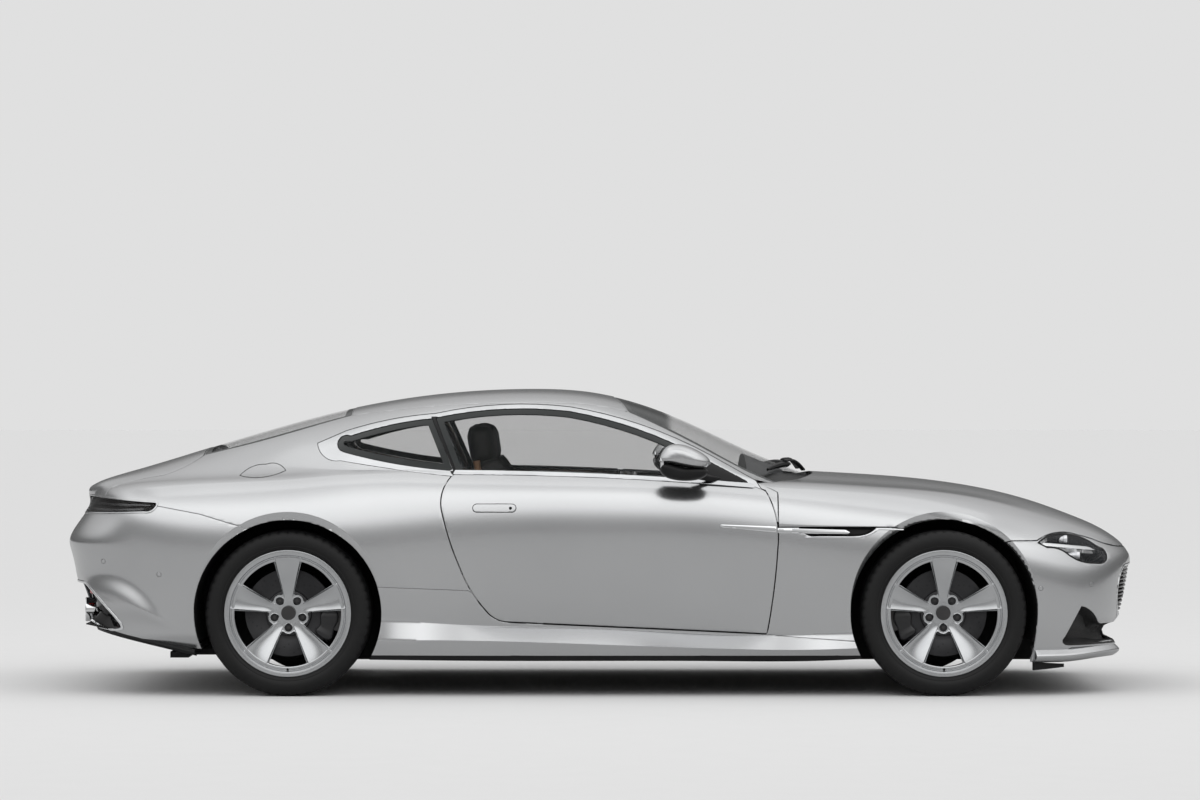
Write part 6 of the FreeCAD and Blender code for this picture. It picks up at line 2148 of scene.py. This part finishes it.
    def steering(self) -> None:
        """The steering wheel: leather rim, boss, three spokes and the column."""
        turn = math.radians(self.slope)
        axis = np.array([math.cos(turn), 0, -math.sin(turn)])
        up = np.array([math.sin(turn), 0, math.cos(turn)])
        aside, hub = np.array(LEFTWARD), np.array(self.hub)
        angle = np.linspace(0, math.tau, self.rim_steps + 1)[:-1]
        out = np.cos(angle)[:, None] * up + np.sin(angle)[:, None] * aside
        grip = 1 + 0.12 * np.cos(angle * 2 + math.pi) ** 2
        rim = sweep("rim", hub + out * self.rim, out, *tiled(self.rim_steps, axis),
                    [(0.0155 * math.cos(a), 0.0135 * math.sin(a))
                     for a in np.linspace(0, math.tau, 17)[:-1]], closed=True, sizes=grip)
        pieces = [dress(smooth(rim, 80), Stuff.LEATHER)]
        boss = [(0.05, 0.0), (0.05, 0.05), (0.02, 0.058), (-0.004, 0.062), (-0.016, 0.056),
                (-0.022, 0.04), (-0.024, 0.0)]
        pieces.append(turned("boss", boss, self.hub, Stuff.LEATHER, axis=tuple(axis)))
        for spoke in (math.pi / 2, math.pi, -math.pi / 2):
            way = math.cos(spoke) * up + math.sin(spoke) * aside
            run = np.array([hub + way * far + axis * sink for far, sink in
                            ((0.04, 0.002), (0.08, 0.006), (0.13, 0.004), (0.168, 0.0))])
            arm = sweep("spoke", run, *tiled(4, np.cross(way, axis), axis),
                        rounded(0.04, 0.012, 0.005), sizes=np.array([1.3, 1.0, 0.85, 0.9]))
            pieces.append(dress(smooth(arm, 50), Stuff.SATIN_CHROME))
        shaft = [(0.03, 0.0), (0.03, 0.018), (0.255, 0.018), (0.255, 0.0)]
        pieces.append(turned("shaft", shaft, self.hub, Stuff.IRON, 32, tuple(axis)))
        keep(joined("steering_wheel_trim", pieces), "steering_wheel", "steering_wheel", slot="trim")
        cowl = [(0.07, 0.024), (0.06, 0.038), (0.065, 0.045), (0.17, 0.05), (0.17, 0.024),
                (0.07, 0.024)]
        keep(turned("column_cowl", cowl, self.hub, Stuff.SATIN_BLACK, 40, tuple(axis)), "body",
             slot="black")

    def linings(self) -> None:
        """The headlining and the door linings."""
        head = skin("headlining", Upper.CABIN, -1110, 130).lifted(-0.03).beyond(Z, 0.88)
        head.inside(ROOF, -0.004)
        keep(dress(head.made(0.008, both=True), Stuff.SUEDE), "body", slot="trim")
        card = skin("right_door_card", Upper.CABIN, -700, 770).lifted(-0.032).beyond(Z, 0.3)
        card.inside(DOOR, -0.03).beyond(Z, 0.88, BELOW)
        card.moved(lambda p, n: np.stack([p[:, X] * 0, 0.03 * fade(p[:, Z], 0.55, 0.62)
                                          * (1 - fade(p[:, Z], 0.64, 0.8)), p[:, X] * 0], axis=1))
        keep_pair(dress(card.made(0.02), Stuff.TAN), "right_door", slot="trim")

    def build(self) -> None:
        """Make the cabin."""
        for make in (self.seats, self.dashboard, self.console, self.steering, self.linings):
            make()


@dataclass
class Outfit:
    """Wipers and cowl, and finishes for the structure that shows as it is."""

    wall: float = 0.462
    wall_foot: float = 0.13
    front_margin: float = 0.075
    rear_margin: float = 0.004
    plain: tuple = ((Stuff.LINER, ("wheel_liners",)), (Stuff.PAINT_BACK, ("firewall",)),
                    (Stuff.CARPET, ("floor_pan", "boot_tub", "rear_bulkhead")),
                    (Stuff.ALLOY, ("engine_block",)),
                    (Stuff.IRON, ("front_crossmember", "rear_hub_carriers", "front_wishbones",
                                  "rear_wishbones", "front_right_knuckle",
                                  "front_left_knuckle")))

    def structure(self) -> None:
        """Dress every plain solid that shows as it is."""
        for finish, nodes in self.plain:
            for node in nodes:
                for slot in frame["nodes"][node].material_slots:
                    slot.material = finish.value.material()
                log.info("%s has its finish", node)

    def arch_walls(self) -> None:
        """The inner wall that closes each wheel arch towards the middle of the car."""
        walls = []
        for x, margin in ((FRONT_AXLE, self.front_margin), (REAR_AXLE, self.rear_margin)):
            radius = ARCH_RADIUS + margin
            for hand in Hand:
                profile = [(0.0, 0.0), (0.0, 0.12), (0.004, 0.2), (0.004, radius), (0.001, radius),
                           (0.001, 0.2), (-0.003, 0.12), (-0.003, 0.0)]
                place = (x, hand.value * self.wall, AXLE_HEIGHT)
                walls.append(lathe("wall", profile, place, 48))
        walls = joined("arch_walls", walls)
        with editing(walls):
            bpy.ops.mesh.bisect(plane_co=(0, 0, self.wall_foot), plane_no=UPWARD, clear_inner=True,
                                use_fill=True)
        keep(dress(smooth(walls), Stuff.LINER), "body", slot="black")

    def wipers(self) -> None:
        """Two wipers parked along the foot of the windscreen."""
        probe, pieces = Probe(Upper.CABIN), []
        steps, half = 25, 12
        rubber = [(-0.012, 0.0), (-0.004, -0.016), (0.0, -0.017), (0.004, -0.016), (0.012, 0.0),
                  (0.006, 0.008), (-0.006, 0.008)]
        for start, end in ((-0.62, -0.02), (-0.06, 0.54)):
            y = np.linspace(start, end, steps)
            back = 0.835 - 0.27 * np.abs(y) ** 1.7
            flat = [(x, -abs(place), 2.0) for x, place in zip(back, y)]
            path, normals = probe.path(flat, (0, 0, -1), 0.016)
            path[:, Y] = y
            normals[:, Y] *= -np.sign(y + 1e-9)
            along = np.gradient(path, axis=0)
            across = np.cross(normals, along)
            across /= np.linalg.norm(across, axis=1, keepdims=True)
            size = 1 - 0.5 * np.abs(np.linspace(-1, 1, steps)) ** 3
            pieces.append(smooth(sweep("blade", path, across, normals, rubber, sizes=size), 40))
            middle = path[half] + normals[half] * 0.012
            root = np.array([0.9, (start + end) / 2 + 0.26, path[half][2] - 0.03])
            share = np.linspace(0, 1, 7)[:, None]
            run = root + (middle - root) * share
            run[:, Z] += 0.02 * np.sin(share[:, 0] * math.pi)
            pieces.append(smooth(sweep("arm", run, *tiled(7, (0.9, 0.45, 0), UPWARD),
                                       rounded(0.022, 0.01, 0.004))))
        keep(dress(joined("wipers", pieces), Stuff.SATIN_BLACK), "body", slot="black")

    def cowl(self) -> None:
        """The black panel between the windscreen and the bonnet."""
        sheet = skin("cowl", Upper.CABIN, 560, 1060).lifted(-0.014).beyond(Z, 0.8)
        sheet.inside(COWL)
        keep(dress(sheet.made(0.004, both=True), Stuff.SATIN_BLACK), "body", slot="black")

    def build(self) -> None:
        """Finish the structure and add the cowl and the wipers."""
        self.structure()
        self.arch_walls()
        self.cowl()
        self.wipers()


# ---------------------------------------------------------------- the studio

@dataclass(frozen=True)
class Studio:
    """A pale sweep of floor, soft light from above, and the camera off the car's right side."""

    distance: float = 18.97
    eye: float = 1.266
    aside: float = -0.0085
    lens: float = 126.7
    pale: tuple = (0.76, 0.76, 0.76)
    reach: float = 160.0
    backdrop: float = 0.745
    sky: tuple = ((0.0, 0.21), (0.14, 0.27), (0.45, 0.98), (0.75, 1.2), (1.0, 0.9))
    near_side: float = 0.5
    # grey of the floor in reflections and bounced light: painted shade
    unlit: float = 0.52
    aim: Point = (0, 0, 0.5)

    def floor(self) -> None:
        """A wide floor, level all round the car: pale to the camera, and a darker grey to every
        other ray, a painted shade of the floor as the car's paint reflects it.
        """
        deselect()
        bpy.ops.mesh.primitive_circle_add(vertices=96, radius=self.reach, fill_type="NGON")
        paper = rename(bpy.context.object, "studio_floor")
        with editing(paper):
            bpy.ops.mesh.inset(thickness=self.reach / 2)
        made = Finish("studio paper", self.pale, tuple(c * 0.99 for c in self.pale),
                      (0.8, 0.9)).material()
        nodes, colour = Nodes(made.node_tree), made.node_tree.nodes["Principled BSDF"].inputs[0]
        # the camera sees the pale floor, while reflections and bounced light see the darker grey,
        # which is painted shade
        seen = nodes.add("LightPath").outputs["Is Camera Ray"]
        shaded_floor_grey = (*[self.unlit] * 3, 1)
        nodes.link(nodes.mix(seen, shaded_floor_grey, colour.links[0].from_socket), colour)
        paper.data.materials.append(made)

    def light(self, name: str, place: Point, size: tuple, power: float) -> None:
        """A soft rectangular light that shines at the car."""
        lamp = bpy.data.lights.new(name, "AREA")
        lamp.shape, lamp.size, lamp.size_y, lamp.energy = "RECTANGLE", *size, power
        obj = bpy.data.objects.new(name, lamp)
        bpy.context.scene.collection.objects.link(obj)
        obj.location = place
        way = Vector(self.aim) - Vector(place)
        obj.rotation_euler = way.to_track_quat("-Z", "Y").to_euler()

    def world(self) -> None:
        """Soft light from above, darker towards the horizon, in front of an even backdrop."""
        world = bpy.data.worlds.new("studio")
        bpy.context.scene.world = world
        world.use_nodes = True
        nodes = Nodes(world.node_tree)
        where = nodes.add("TexCoord").outputs["Generated"]
        way = nodes.add("SeparateXYZ", {0: where})
        sky = nodes.add("ValToRGB", {0: way.outputs[2]})
        sky.color_ramp.interpolation = "EASE"
        stops = sky.color_ramp.elements
        for _ in self.sky[2:]:
            stops.new(0.5)
        for stop, (place, value) in zip(stops, self.sky):
            stop.position, stop.color = place, (value, value, value, 1)
        near = nodes.math("MULTIPLY_ADD", way.outputs[1], -self.near_side, 1.0)
        shade = nodes.math("MULTIPLY", sky.outputs[0], near)
        seen = nodes.add("LightPath").outputs["Is Camera Ray"]
        shade = nodes.add("MapRange", {"Value": seen, "To Min": shade,
                                       "To Max": self.backdrop}).outputs[0]
        nodes.link(shade, world.node_tree.nodes["Background"].inputs["Color"])

    def camera(self) -> None:
        """A long lens at eye height, square to the car's right side."""
        lens = bpy.data.cameras.new("camera")
        lens.lens, lens.sensor_width, lens.clip_end = self.lens, 36.0, 200.0
        obj = bpy.data.objects.new("camera", lens)
        bpy.context.scene.collection.objects.link(obj)
        obj.location = (self.aside, -self.distance, self.eye)
        obj.rotation_euler = (math.pi / 2, 0, 0)
        bpy.context.scene.camera = obj

    def build(self) -> None:
        """Set up the floor, the lights and the camera."""
        self.floor()
        self.world()
        self.camera()
        self.light("overhead", (0, 0, 5.5), (7, 4), 30)
        bpy.context.scene.view_settings.view_transform = "Standard"


def main() -> None:
    """Build the car's looks, piece by piece."""
    logging.basicConfig(level=logging.INFO, format="%(message)s")
    Studio().build()
    Bodywork().build()
    Windows().build()
    Brightwork().build()
    Lamps().build()
    Nose().build()
    Tail().build()
    Mirror().build()
    Wheel().build()
    Cabin().build()
    Outfit().build()


if __name__ == "__main__":
    main()
